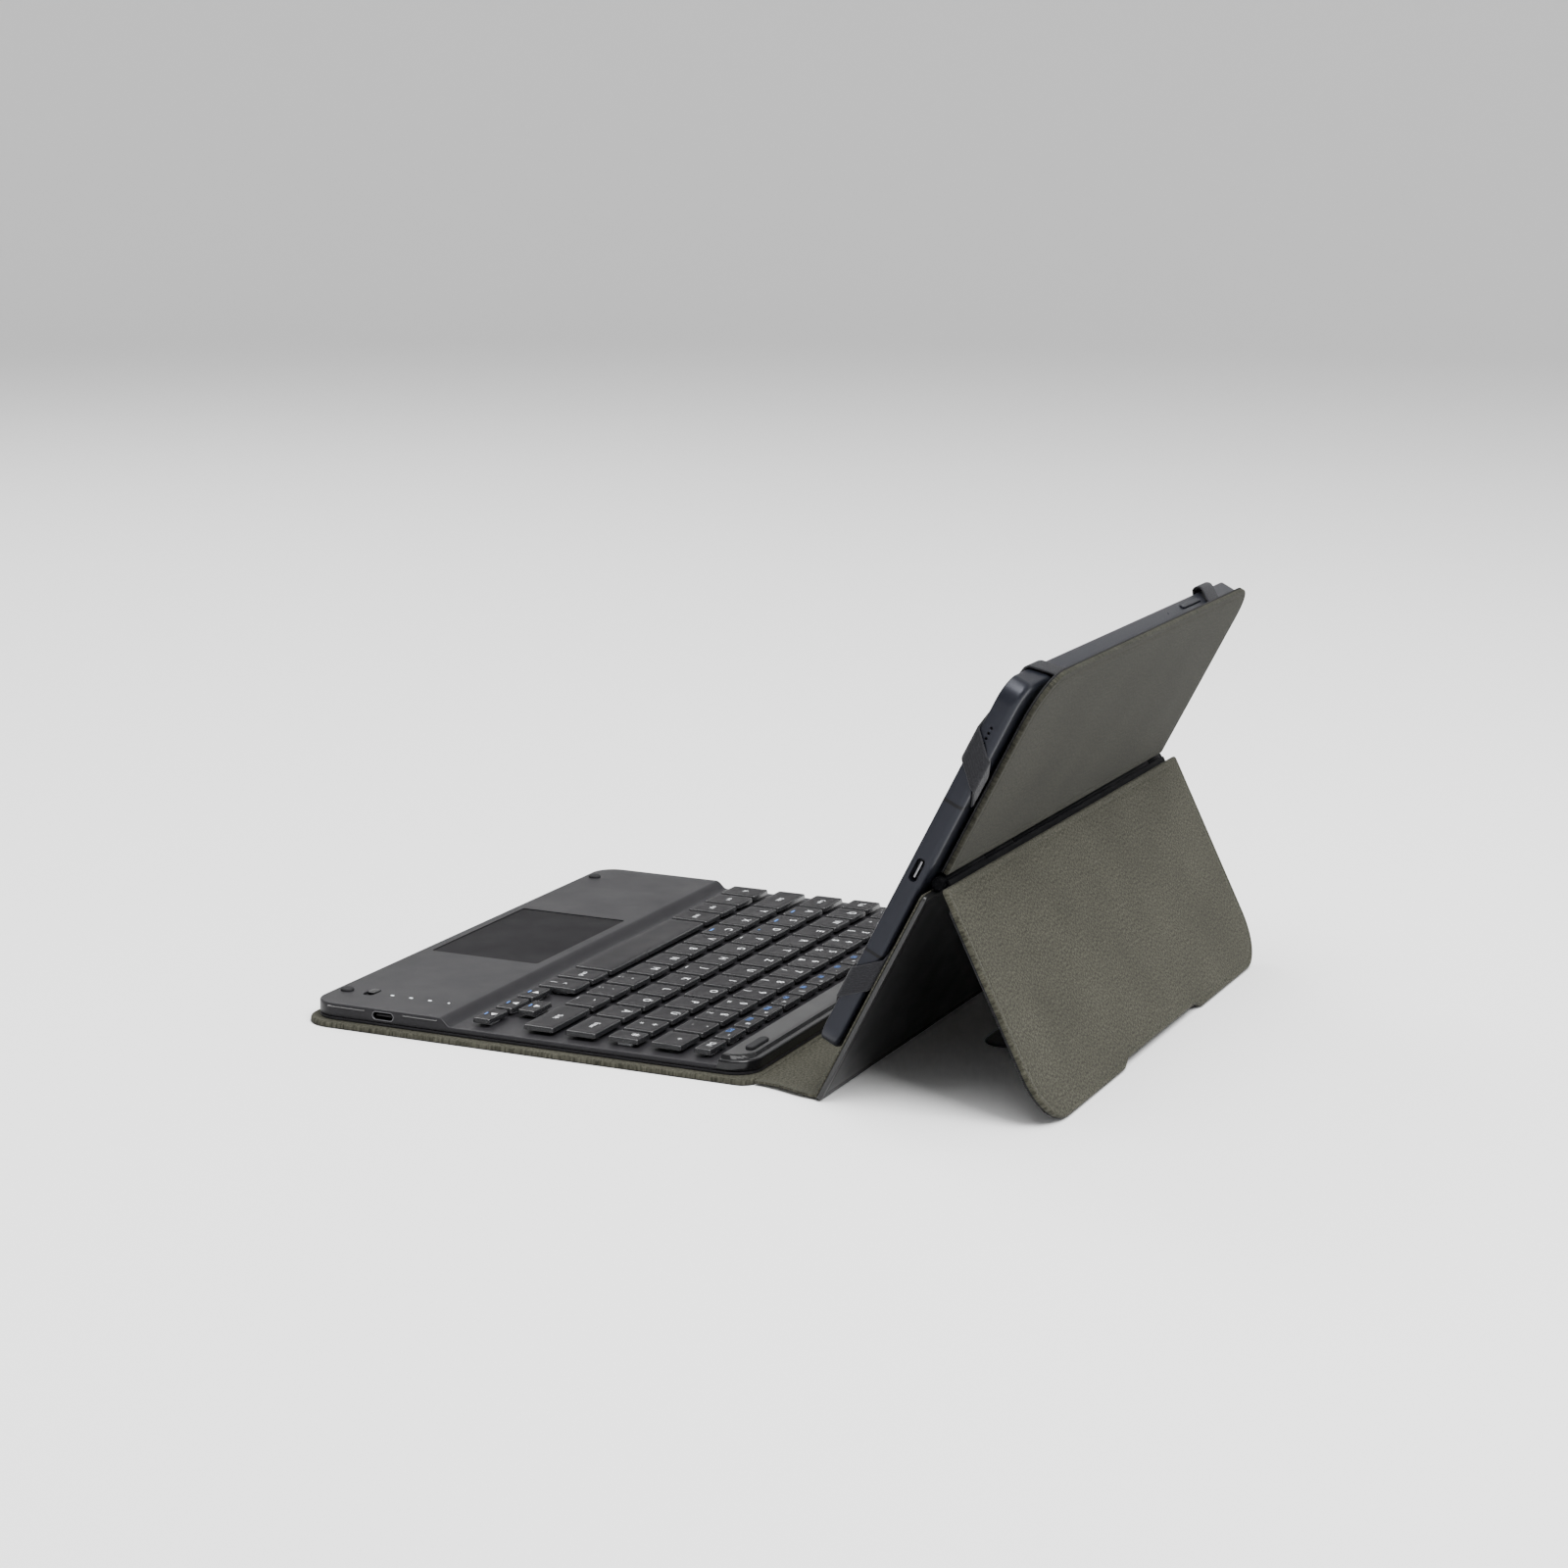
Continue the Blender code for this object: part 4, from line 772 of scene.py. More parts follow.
def make_touchpad(look):
    """Touch surface, a little below the palm rest."""
    piece("touch_surface", touchpad_shape(0.0, -0.85 * MM, -0.28 * MM), MATERIALS["pad"], "keyboard",
          ("touchpad",))


def stadium(size, profile, centre):
    """A slot-shaped board, round at both ends."""
    radius = min(size) / 2 - 0.02 * MM
    return board(size, (radius,) * 4, profile, centre, arc=9, side=1)


SWITCH_TRAVEL = joint_named("power_switch_slide")["range_m"][1]


def slot_shape():
    """Cutter of the power switch's slot."""
    low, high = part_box("power_switch")
    size = (high.x - low.x + SWITCH_TRAVEL + 0.9 * MM, high.y - low.y + 0.7 * MM)
    centre = ((low.x + high.x + SWITCH_TRAVEL) / 2, (low.y + high.y) / 2)
    profile = [(0.0, PALM_TOP - 0.9 * MM), (0.0, PALM_TOP + 1 * MM)]
    return loft(stadium(size, profile, centre))


def make_switch(look):
    """Sliding knob with three grip ridges, round at both ends."""
    low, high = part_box("power_switch")
    size, centre = plan_of(low, high)
    profile = edge_profile(PALM_TOP - 0.85 * MM, high.z, 0.05 * MM, 0.3 * MM, 1.2 * MM)
    shapes = [loft(stadium(size, profile, centre))]
    for step in (-1, 0, 1):
        ridge = [(high.z - 0.15 * MM, 0.01 * MM), (high.z - 0.1 * MM, 0.28 * MM),
                 (high.z + 0.05 * MM, 0.2 * MM), (high.z + 0.12 * MM, 0.02 * MM)]
        shapes.append(turned(ridge, (centre[0] + step * 1.1 * MM, centre[1], 0.0), segments=16))
    # Painted shade: a dark rubber plate on the slot's floor, standing in for the shade inside the slot.
    floor = [(0.0, PALM_TOP - 1.0 * MM), (0.0, PALM_TOP - 0.87 * MM)]
    shade_liner = stadium((size[0] + SWITCH_TRAVEL + 0.95 * MM, size[1] + 0.75 * MM), floor,
                    (centre[0] + SWITCH_TRAVEL / 2, centre[1]))
    piece("switch_slot", loft(shade_liner), MATERIALS["rubber"], "keyboard")
    piece("switch_knob", together(shapes), MATERIALS["gloss"], "power_switch",
          ("power_switch",))


def make_lights(look):
    """Four short light bars in a line, the last one smaller."""
    low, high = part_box("status_light_guide")
    middle = (low.x + high.x) / 2
    places = np.linspace(low.y + 0.9 * MM, high.y - 0.9 * MM, 4)
    shapes = []
    for index, y in enumerate(places):
        width = (1.5 if index < 3 else 0.8) * MM
        profile = edge_profile(PALM_TOP - 0.3 * MM, PALM_TOP + 0.06 * MM, 0.02 * MM, 0.08 * MM,
                               0.3 * MM)
        shapes.append(merged(loft(stadium((0.9 * MM, width), profile, (middle, y)))))
    piece("status_lights", together(shapes), MATERIALS["light"], "keyboard",
          ("status_light_guide",))


def make_rubber(look):
    """Front bumpers are low domes; rear pads are long and round-ended."""
    for side in ("left", "right"):
        low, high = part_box(f"front_bumper_{side}")
        radius = (high.x - low.x) / 2
        turn = np.linspace(0.0, pi / 2, 7)
        dome = list(zip(PALM_TOP + 0.3 * MM + (high.z - PALM_TOP - 0.3 * MM) * np.sin(turn),
                        radius * (0.45 + 0.55 * np.cos(turn))))
        profile = [(PALM_TOP - 0.2 * MM, radius)] + dome
        centre = ((low.x + high.x) / 2, (low.y + high.y) / 2, 0.0)
        piece(f"bumper_{side}", turned(profile, centre), MATERIALS["rubber"], "keyboard",
              (f"front_bumper_{side}",))
        low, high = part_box(f"rear_pad_{side}")
        size, centre = plan_of(low, high)
        profile = edge_profile(low.z, high.z, 0.05 * MM, 0.45 * MM, 1.2 * MM)
        piece(f"ledge_pad_{side}", loft(stadium(size, profile, centre)), MATERIALS["rubber"],
              "keyboard", (f"rear_pad_{side}",))


PORT_LOW, PORT_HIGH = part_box("usb_c_shell")
SIDE = (np.array([(0.0, 1.0, 0.0), (0.0, 0.0, 1.0), (1.0, 0.0, 0.0)]),
        np.array([0.0, (PORT_LOW.y + PORT_HIGH.y) / 2, (PORT_LOW.z + PORT_HIGH.z) / 2]))


TONGUE_W = 6.4 * MM


def port_hole():
    """Cutter of the charging port, in the world."""
    size = (PORT_HIGH.y - PORT_LOW.y + 0.1 * MM, PORT_HIGH.z - PORT_LOW.z + 0.1 * MM)
    profile = [(0.0, PORT_LOW.x - 0.2 * MM), (0.0, PORT_HIGH.x + 2 * MM)]
    return in_world(loft(stadium(size, profile, (0.0, 0.0))), SIDE)


def make_port(look):
    """A metal shell with a rolled mouth, its plain tongue, and the two trims beside it."""
    size = (PORT_HIGH.y - PORT_LOW.y, PORT_HIGH.z - PORT_LOW.z)
    mouth = PORT_HIGH.x - 0.10 * MM
    wall = 0.38 * MM
    profile = [(0.2 * MM, PORT_LOW.x), (0.0, PORT_LOW.x + 0.2 * MM), (0.0, mouth - 0.15 * MM),
               (0.06 * MM, mouth), (wall - 0.08 * MM, mouth), (wall, mouth - 0.12 * MM),
               (wall, PORT_LOW.x + 0.9 * MM)]
    piece("port_shell", loft(stadium(size, profile, (0.0, 0.0))), MATERIALS["port"], "keyboard",
          ("usb_c_shell",), plane=SIDE)
    tongue = edge_profile(PORT_LOW.x + 0.8 * MM, mouth - 1.0 * MM, 0.05 * MM, 0.1 * MM, 0.25 * MM)
    shape = loft(board((TONGUE_W, 0.64 * MM), (0.1 * MM,) * 4, tongue, arc=3))
    piece("port_tongue", shape, MATERIALS["body"], "keyboard", ("usb_c_tongue",),
          plane=SIDE)
    for name in ("front", "rear"):
        low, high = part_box(f"side_trim_{name}")
        centre = ((low.y + high.y) / 2 - SIDE[1][1], (low.z + high.z) / 2 - SIDE[1][2])
        trim = edge_profile(low.x, high.x + 0.35 * MM, 0.02 * MM, 0.35 * MM, 0.4 * MM)
        shape = loft(stadium((high.y - low.y, high.z - low.z), trim, centre))
        piece(f"gloss_trim_{name}", shape, MATERIALS["trim"], "keyboard",
              (f"side_trim_{name}",), plane=SIDE)


# ---------------------------------------------------------------- keys

KEY_GAP = 1.7 * MM
CARET_KEY_W = 7.7 * MM
CAP_DEPTH = 1.75 * MM
CAP_TAPER = 0.30 * MM
PRINT_LIFT = 0.015 * MM
EDGE_FROM, EDGE_TO = 0.15, 0.985    # how far upward the faces of a cap's polished edge look
GUIDE_W, GUIDE_D, GUIDE_SHARE = 7.0 * MM, 6.0 * MM, 0.6
FUNCTIONS = [(f"F{number}", sign) for number, sign in zip(range(1, 13), "<>o=+-*|«»#~")]
NUMBERS = [("^", "°"), ("1", "!"), ("2", '"'), ("3", "§"), ("4", "$"), ("5", "%"),
           ("6", "&"), ("7", "/"), ("8", "("), ("9", ")"), ("0", "="), ("ß", "?"), ("´", "`")]
UPPER = [(letter, "") for letter in "QWERTZUIOPÜ"] + [("+", "*")]
HOME = [(letter, "") for letter in "ASDFGHJKLÖÄ"]
LOWER = [(letter, "") for letter in "YXCVBNM"] + [(",", ";"), (".", ":"), ("-", "_")]
BARRED = "ASC"


def key_table():
    """CAD node, its legends, the width of a narrow first key, and the style of its legends."""
    single = [
        ("escape_key", "Esc", "word"), ("delete_key", "Del", "word"), ("backspace_key", "←", "arrow"),
        ("tab_key", "Tab", "word"), ("hash_key", "#", "letter"), ("caps_lock_key", "Caps", "word"),
        ("enter_key", "Enter", "word"), ("left_shift_key", "Shift", "word"),
        ("right_shift_key", "Shift", "word"), ("space_bar", "", "word"),
        ("left_arrow_key", "◄", "arrow"), ("down_arrow_key", "▼", "arrow"),
        ("right_arrow_key", "►", "arrow"), ("up_arrow_key", "▲", "arrow"),
    ]
    rows = [(name, [(text, "")], 0.0, style) for name, text, style in single]
    rows.append(("function_keys", FUNCTIONS, 0.0, "function"))
    rows.append(("number_row_keys", NUMBERS, CARET_KEY_W, "letter"))
    rows.append(("upper_letter_keys", UPPER, 0.0, "letter"))
    rows.append(("home_letter_keys", HOME, 0.0, "letter"))
    rows.append(("lower_letter_keys", LOWER, 0.0, "letter"))
    rows.append(("left_modifier_keys", [(t, "") for t in ("fn", "ctrl", "opt", "cmd")], 0.0, "word"))
    rows.append(("right_modifier_keys", [("cmd", ""), ("<", "|")], 0.0, "word"))
    return rows


def key_edges(low, high, count, narrow):
    """Left and right edges of each key in a group."""
    start = low.x
    edges = []
    if narrow:
        edges.append((start, start + narrow))
        start += narrow + KEY_GAP
        count -= 1
    pitch = (high.x + KEY_GAP - start) / count
    edges += [(start + step * pitch, start + (step + 1) * pitch - KEY_GAP) for step in range(count)]
    return edges


def keycap(look, left, right, front, back, top, bottom):
    """A hollow cap: skirt, rounded upper edge, and a face that sinks to a shallow dish."""
    size = (right - left, back - front)
    edge = look.key_edge
    turn = np.linspace(0.0, pi / 2, 4)
    profile = [(1.0 * MM, top - 0.42 * MM), (0.85 * MM, bottom + 0.05 * MM), (0.75 * MM, bottom),
               (0.1 * MM, bottom), (0.0, bottom + 0.1 * MM)]
    profile += list(zip(CAP_TAPER + edge * (1 - np.cos(turn)), top - edge * (1 - np.sin(turn))))
    half = min(size) / 2
    for share, drop in ((0.35, 0.3), (0.62, 0.75), (0.92, 1.0)):
        profile.append((CAP_TAPER + edge + share * (half - CAP_TAPER - edge),
                        top - drop * look.key_dish))
    centre = ((left + right) / 2, (front + back) / 2)
    return loft(board(size, (look.key_radius,) * 4, profile, centre, arc=5, side=1))


def legend_mesh(text):
    """Flat letter shapes about their middle, one unit high."""
    curve = bpy.data.curves.new("legend", "FONT")
    curve.body = text
    curve.size = 1.0
    curve.align_x = "CENTER"
    curve.align_y = "CENTER"
    curve.resolution_u = 2
    helper = bpy.data.objects.new("legend", curve)
    bpy.context.scene.collection.objects.link(helper)
    graph = bpy.context.evaluated_depsgraph_get()
    mesh = bpy.data.meshes.new_from_object(helper.evaluated_get(graph))
    points = np.empty(len(mesh.vertices) * 3)
    mesh.vertices.foreach_get("co", points)
    faces = [list(polygon.vertices) for polygon in mesh.polygons]
    bpy.data.objects.remove(helper)
    bpy.data.meshes.remove(mesh)
    return points.reshape(-1, 3), faces


def printed_at(text, x, y, z, height, stretch=1.0):
    """Letters of one height laid flat at a place."""
    points, faces = legend_mesh(text)
    return points * (height * stretch, height, 0.0) + (x, y, z), faces


def bar_at(x, y, z, width, depth):
    """A small printed bar."""
    rings = board((width, depth), (0.1 * MM,) * 4, [(0.0, z)], (x, y), arc=3, side=1)
    return rings.reshape(-1, 3), [list(range(rings.shape[1]))]


def key_print(style, text, second, left, right, front, back, z):
    """White and blue prints of one key."""
    x = (left + right) / 2
    depth = back - front
    white, blue = [], []
    if style == "letter":
        white.append(printed_at(text, x - 0.1 * (right - left), back - 0.31 * depth, z, 4.4 * MM))
        if second:
            white.append(printed_at(second, x - 0.1 * (right - left), front + 0.23 * depth, z, 3.8 * MM))
        if text in BARRED:
            blue.append(bar_at(x + 0.12 * (right - left), front + 0.22 * depth, z, 3.4 * MM, 0.7 * MM))
        if text == "D":
            blue.append(bar_at(x + 0.12 * (right - left), front + 0.22 * depth, z, 0.8 * MM, 0.8 * MM))
        if text in "FJ":
            white.append(bar_at(x, front + 0.14 * depth, z + 0.1 * MM, 2.2 * MM, 0.35 * MM))
    elif style == "word":
        height = 2.9 * MM if len(text) > 3 else 3.2 * MM
        if text:
            white.append(printed_at(text, x, front + 0.52 * depth, z, height))
        if second:
            white.append(printed_at(second, x, front + 0.24 * depth, z, height))
    elif style == "function":
        blue.append(printed_at(text, x - 0.18 * (right - left), front + 0.32 * depth, z, 2.8 * MM))
        white.append(printed_at(second, x + 0.20 * (right - left), front + 0.64 * depth, z, 2.9 * MM))
    elif style == "arrow":
        white.append(printed_at(text, x, front + 0.62 * depth, z, 3.0 * MM))
        if depth < 10 * MM:
            blue.append(bar_at(x, front + 0.26 * depth, z, 2.6 * MM, 0.5 * MM))
    return white, blue


def make_keys(look):
    """Every group of caps and its prints, and the clear guides under the caps."""
    guides = []
    for name, legends, narrow, style in key_table():
        low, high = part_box(name)
        bottom = high.z - CAP_DEPTH
        caps, white, blue = [], [], []
        for (left, right), (text, second) in zip(key_edges(low, high, len(legends), narrow), legends):
            caps.append(keycap(look, left, right, low.y, high.y, high.z, bottom))
            z = high.z + PRINT_LIFT
            key_white, key_blue = key_print(style, text, second, left, right, low.y, high.y, z)
            white += key_white
            blue += key_blue
            size = (min(GUIDE_W, GUIDE_SHARE * (right - left)),
                    min(GUIDE_D, GUIDE_SHARE * (high.y - low.y)))
            profile = [(0.05 * MM, FLOOR_TOP - 0.05 * MM), (0.0, FLOOR_TOP + 0.05 * MM), (0.0, bottom),
                       (0.05 * MM, bottom + 0.05 * MM)]
            centre = ((left + right) / 2, (low.y + high.y) / 2)
            guides.append(loft(board(size, (0.6 * MM,) * 4, profile, centre, arc=3, side=1)))
        stem = name.replace("_keys", "").replace("_key", "")
        thing = piece(f"{stem}_caps", together(caps), MATERIALS["key"], name, (name,))
        mesh = thing.data
        mesh.materials.append(MATERIALS["edge"])
        normal = np.empty(len(mesh.polygons) * 3, np.float32)
        mesh.polygons.foreach_get("normal", normal)
        upward = normal.reshape(-1, 3)[:, 2]
        on_edge = (upward > EDGE_FROM) & (upward < EDGE_TO)
        mesh.polygons.foreach_set("material_index", on_edge.astype(np.int32))
        if white:
            piece(f"{stem}_print", together(white), MATERIALS["ink"], name)
        if blue:
            piece(f"{stem}_second_print", together(blue), MATERIALS["blue"], name)
    piece("key_guides", together(guides), MATERIALS["clear"], "keyboard")


# ---------------------------------------------------------------- spine and panels

SPINE_SHEET_T = 0.9 * MM
SPINE_ROWS, SPINE_COLUMNS = 29, 61
SPINE_BEND = 6 * MM


def make_spine(look):
    """Soft strip as two half sheets: the height dips between the folds and the free edges flare.

    Half width is near + (far - near) (1 - cos(pi s)) / 2, with s from 0 at the keyboard cover to 1
    at the fold. Middle height is a base + a dip (2 s - 1)^2 + a flare at both free edges + a faint
    sine ripple.
    """
    start_y = span("keyboard_cover", 1)[1] + 0.05 * MM
    end_y = FOLD["pos_m"][1] + 0.2 * MM
    near = span("keyboard_cover", 0)[1] - 2.6 * MM
    far = span("lower_panel", 0)[1] - 1.6 * MM
    rows, columns = SPINE_ROWS, SPINE_COLUMNS
    share = np.linspace(0.0, 1.0, rows)[:, None]
    across = np.sin(np.linspace(-pi / 2, pi / 2, columns))[None, :]
    half = near + (far - near) * (1 - np.cos(pi * share)) / 2
    x = half * across
    y = start_y + (end_y - start_y) * share + 0.0 * across
    dip = (2 * share - 1) ** 2
    flare = np.clip((np.abs(across) - 0.94) / 0.06, 0.0, 1.0) ** 2 * np.sin(pi * share)
    ripple = 0.10 * MM * np.sin(9 * across + 5 * share) * np.sin(pi * share) * (1 - across ** 2)
    middle = 0.75 * MM + 0.55 * MM * dip + 1.1 * MM * flare + ripple
    thick = SPINE_SHEET_T
    half_way = rows // 2
    for name, rows_used, joined, reach in (
            ("spine_front", slice(0, half_way + 1), ("keyboard", "spine"),
             (start_y - 0.5 * MM, start_y + SPINE_BEND)),
            ("spine_back", slice(half_way, rows), ("spine", "back_panel"),
             (end_y - SPINE_BEND, end_y + 0.5 * MM))):
        sheet = np.stack(np.broadcast_arrays(x, y, middle), -1)[rows_used]
        upper = sheet + (0.0, 0.0, thick / 2)
        lower = sheet - (0.0, 0.0, thick / 2)
        lower[..., 2] = np.maximum(lower[..., 2], 0.05 * MM)
        count = sheet.shape[0] * columns
        faces = grid_faces(sheet.shape[0], columns)
        under = [[index + count for index in face[::-1]] for face in faces]
        index = ring_of(np.arange(count).reshape(sheet.shape[0], columns))
        after = np.roll(index, -1)
        sides = np.stack([index + count, after + count, after, index], -1).tolist()
        points = np.concatenate([upper.reshape(-1, 3), lower.reshape(-1, 3)])
        thing = piece(name, (points, faces + under + sides), MATERIALS["fabric"], joined[0],
                      ("spine",) if name == "spine_front" else ())
        thing.parent = None
        del thing["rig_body"]
        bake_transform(thing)


PANEL_R = 1.5 * MM
UPPER_RADII = (PANEL_R, PANEL_R, 18 * MM, 14 * MM)


def make_panels(look):
    """Boards of the back: black and olive outside, lined inside, all with rounded edges."""
    for node_name, name, material, slot, radii in (
            ("lower_panel", "lower_board", "board", "black_board", (PANEL_R,) * 4),
            ("lower_lining", "lower_inner", "fabric", "olive_fabric", (PANEL_R,) * 4),
            # The upper board wears the darkened copy of the fabric: painted shade.
            ("upper_panel", "upper_board", "upper shaded fabric", "olive_fabric", UPPER_RADII),
            ("upper_lining", "upper_inner", "lining", "dark_lining", UPPER_RADII)):
        low, high = in_plane(node_name, BACK)
        shell = node_name.endswith("panel")
        outer_r, inner_r = (0.7 * MM, 0.3 * MM) if shell else (0.15 * MM, 0.25 * MM)
        profile = edge_profile(low[2], high[2] + (0.15 * MM if shell else 0.0), outer_r, inner_r, 5 * MM,
                               low_rim=look.rim if shell else 0.0)
        shape = loft(board(high[:2] - low[:2], radii, profile, (high[:2] + low[:2]) / 2, arc=17,
                           side=3))
        piece(name, shape, MATERIALS[material], "back_panel", (node_name,), plane=BACK)


BARREL_AXIS = np.array(HINGE["pos_m"])
BARREL_R = 2.4 * MM


def barrel(node_name, name, body):
    """A length of the hinge barrel: a profile of distance and radius, eased at both ends, turned
    about the hinge line."""
    low, high = span(node_name, 0)
    ease = 0.3 * MM
    radius = BARREL_R
    profile = [(low, radius - 0.9 * MM), (low, radius - ease), (low + 0.1 * MM, radius - 0.09 * MM),
               (low + ease, radius), (high - ease, radius), (high - 0.1 * MM, radius - 0.09 * MM),
               (high, radius - ease), (high, radius - 0.9 * MM)]
    points, faces = turned(profile, (0.0, 0.0, 0.0), axis="x", segments=40)
    piece(name, (points + BARREL_AXIS, faces), MATERIALS["barrel"], body,
          (node_name,))


def make_hinge(look):
    """Black barrel in four lengths with domed end caps; the pin shows in the gaps."""
    for node_name, body in (("panel_knuckle_middle", "back_panel"),
                            ("panel_knuckle_right", "back_panel"),
                            ("kickstand_knuckle_left", "kickstand"),
                            ("kickstand_knuckle_right", "kickstand")):
        barrel(node_name, node_name.replace("knuckle", "barrel"), body)
    for side in ("left", "right"):
        low, high = span(f"hinge_cap_{side}", 0)
        out = 1 if side == "right" else -1
        inner, outer = (low, high) if out > 0 else (high, low)
        radius = BARREL_R
        turn = np.linspace(0.0, pi / 2, 6)
        dome = [(inner + out * (abs(outer - inner) - 0.7 * MM + 0.7 * MM * np.sin(a)),
                 radius - 0.8 * MM * (1 - np.cos(a))) for a in turn]
        profile = [(inner, radius - 0.2 * MM), (inner + out * 0.15 * MM, radius)] + dome
        profile = profile if out > 0 else profile[::-1]
        points, faces = turned(profile, (0.0, 0.0, 0.0), axis="x", segments=40)
        piece(f"barrel_cap_{side}", (points + BARREL_AXIS, faces), MATERIALS["barrel"], "back_panel",
              (f"hinge_cap_{side}",))


FOOT_R = 20 * MM
RECESS_HALF, RECESS_SLANT, RECESS_DEPTH = 40.0 * MM, 6.5 * MM, 2.3 * MM
RECESS_FADE = 12 * MM
BOARD_DROP = 1.3 * MM
LEAF_START = 0.3 * MM


def notched(rings, foot, half, slant, depth):
    """Raise the foot edge by depth between two slanted ends.

    The rise is depth (3 s^2 - 2 s^3), with s from 0 to 1 over the slant, and it fades away from the
    foot.
    """
    x, y = rings[..., 0], rings[..., 1]
    share = np.clip((half + slant - np.abs(x)) / slant, 0.0, 1.0)
    share = share * share * (3 - 2 * share)
    near_foot = np.clip((y - (foot - RECESS_FADE)) / RECESS_FADE, 0.0, 1.0)
    rings[..., 1] = y - depth * share * near_foot
    return rings


def make_kickstand(look):
    """Olive board with a rim line and large round feet, lined dark; the recess is a smooth notch.

    A thin leaf under the board's top edge joins it to its two lengths of the barrel.
    """
    for node_name, name, material, slot in (
            ("kickstand", "stand_board", "fabric", "olive_fabric"),
            ("kickstand_lining", "stand_inner", "lining", "dark_lining")):
        low, high = in_plane(node_name, KICK)
        shell = node_name == "kickstand"
        profile = edge_profile(low[2] - (0.15 * MM if shell else 0.0), high[2], 0.25 * MM,
                               0.7 * MM if shell else 0.15 * MM, 5 * MM,
                               high_rim=look.rim if shell else 0.0)
        low[1] += BOARD_DROP if shell else 0.0
        rings = board(high[:2] - low[:2], (PANEL_R, PANEL_R, FOOT_R, FOOT_R), profile,
                      (high[:2] + low[:2]) / 2, arc=19, side=70)
        rings = notched(rings, high[1], RECESS_HALF, RECESS_SLANT, RECESS_DEPTH)
        piece(name, loft(rings), MATERIALS[material], "kickstand", (node_name,), plane=KICK)
    make_leaf()


def make_leaf():
    """A flat strip the length of the hinge pin, and a web down to each of the stand's barrels."""
    lining_low = in_plane("kickstand_lining", KICK)[0]
    leaf_low, leaf_high = lining_low[2] + 0.05 * MM, in_plane("kickstand", KICK)[0][2] - 0.10 * MM
    start, end = LEAF_START, lining_low[1] - 0.1 * MM
    reach = span("hinge_pin", 0)
    sheet = edge_profile(leaf_low, leaf_high, 0.10 * MM, 0.10 * MM, 1.0 * MM)
    shapes = [loft(board((reach[1] - reach[0], end - start), (0.4 * MM,) * 4, sheet,
                         ((reach[0] + reach[1]) / 2, (start + end) / 2)))]
    for side in ("left", "right"):
        first, last = span(f"kickstand_knuckle_{side}", 0)
        web = edge_profile(1.2 * MM, leaf_low + 0.3 * MM, 0.05 * MM, 0.05 * MM, 0.3 * MM)
        shapes.append(loft(board((last - first - 0.4 * MM, 1.0 * MM), (0.2 * MM,) * 4, web,
                                 ((first + last) / 2, 0.8 * MM))))
    piece("stand_leaf", together(shapes), MATERIALS["barrel"], "kickstand", plane=KICK)


def make_flap(look):
    """Thin black tongue with round front corners, eased all round."""
    low, high = in_plane("flap", FLAP)
    profile = edge_profile(low[2], high[2], 0.2 * MM, 0.3 * MM, 3 * MM)
    radii = (8 * MM, 8 * MM, 0.5 * MM, 0.5 * MM)
    shape = loft(board(high[:2] - low[:2], radii, profile, (high[:2] + low[:2]) / 2, arc=13))
    piece("flap_tongue", shape, MATERIALS["board"], "flap", ("flap",), plane=FLAP)


# ---------------------------------------------------------------- tablet and elastics

TABLET_LOW, TABLET_HIGH = in_plane("tablet_housing", BACK)
TABLET_R = 8.5 * MM
SPEAKER_HOLES, SPEAKER_PITCH, SPEAKER_FROM_TOP = 4, 2.0 * MM, 17.5 * MM
MICROPHONE_X = 36.6 * MM
ROCKER_SIZE, ROCKER_SLOT = (21.4 * MM, 2.0 * MM), (22.1 * MM, 2.6 * MM)
TABLET_PORT = (9.0 * MM, 3.1 * MM)


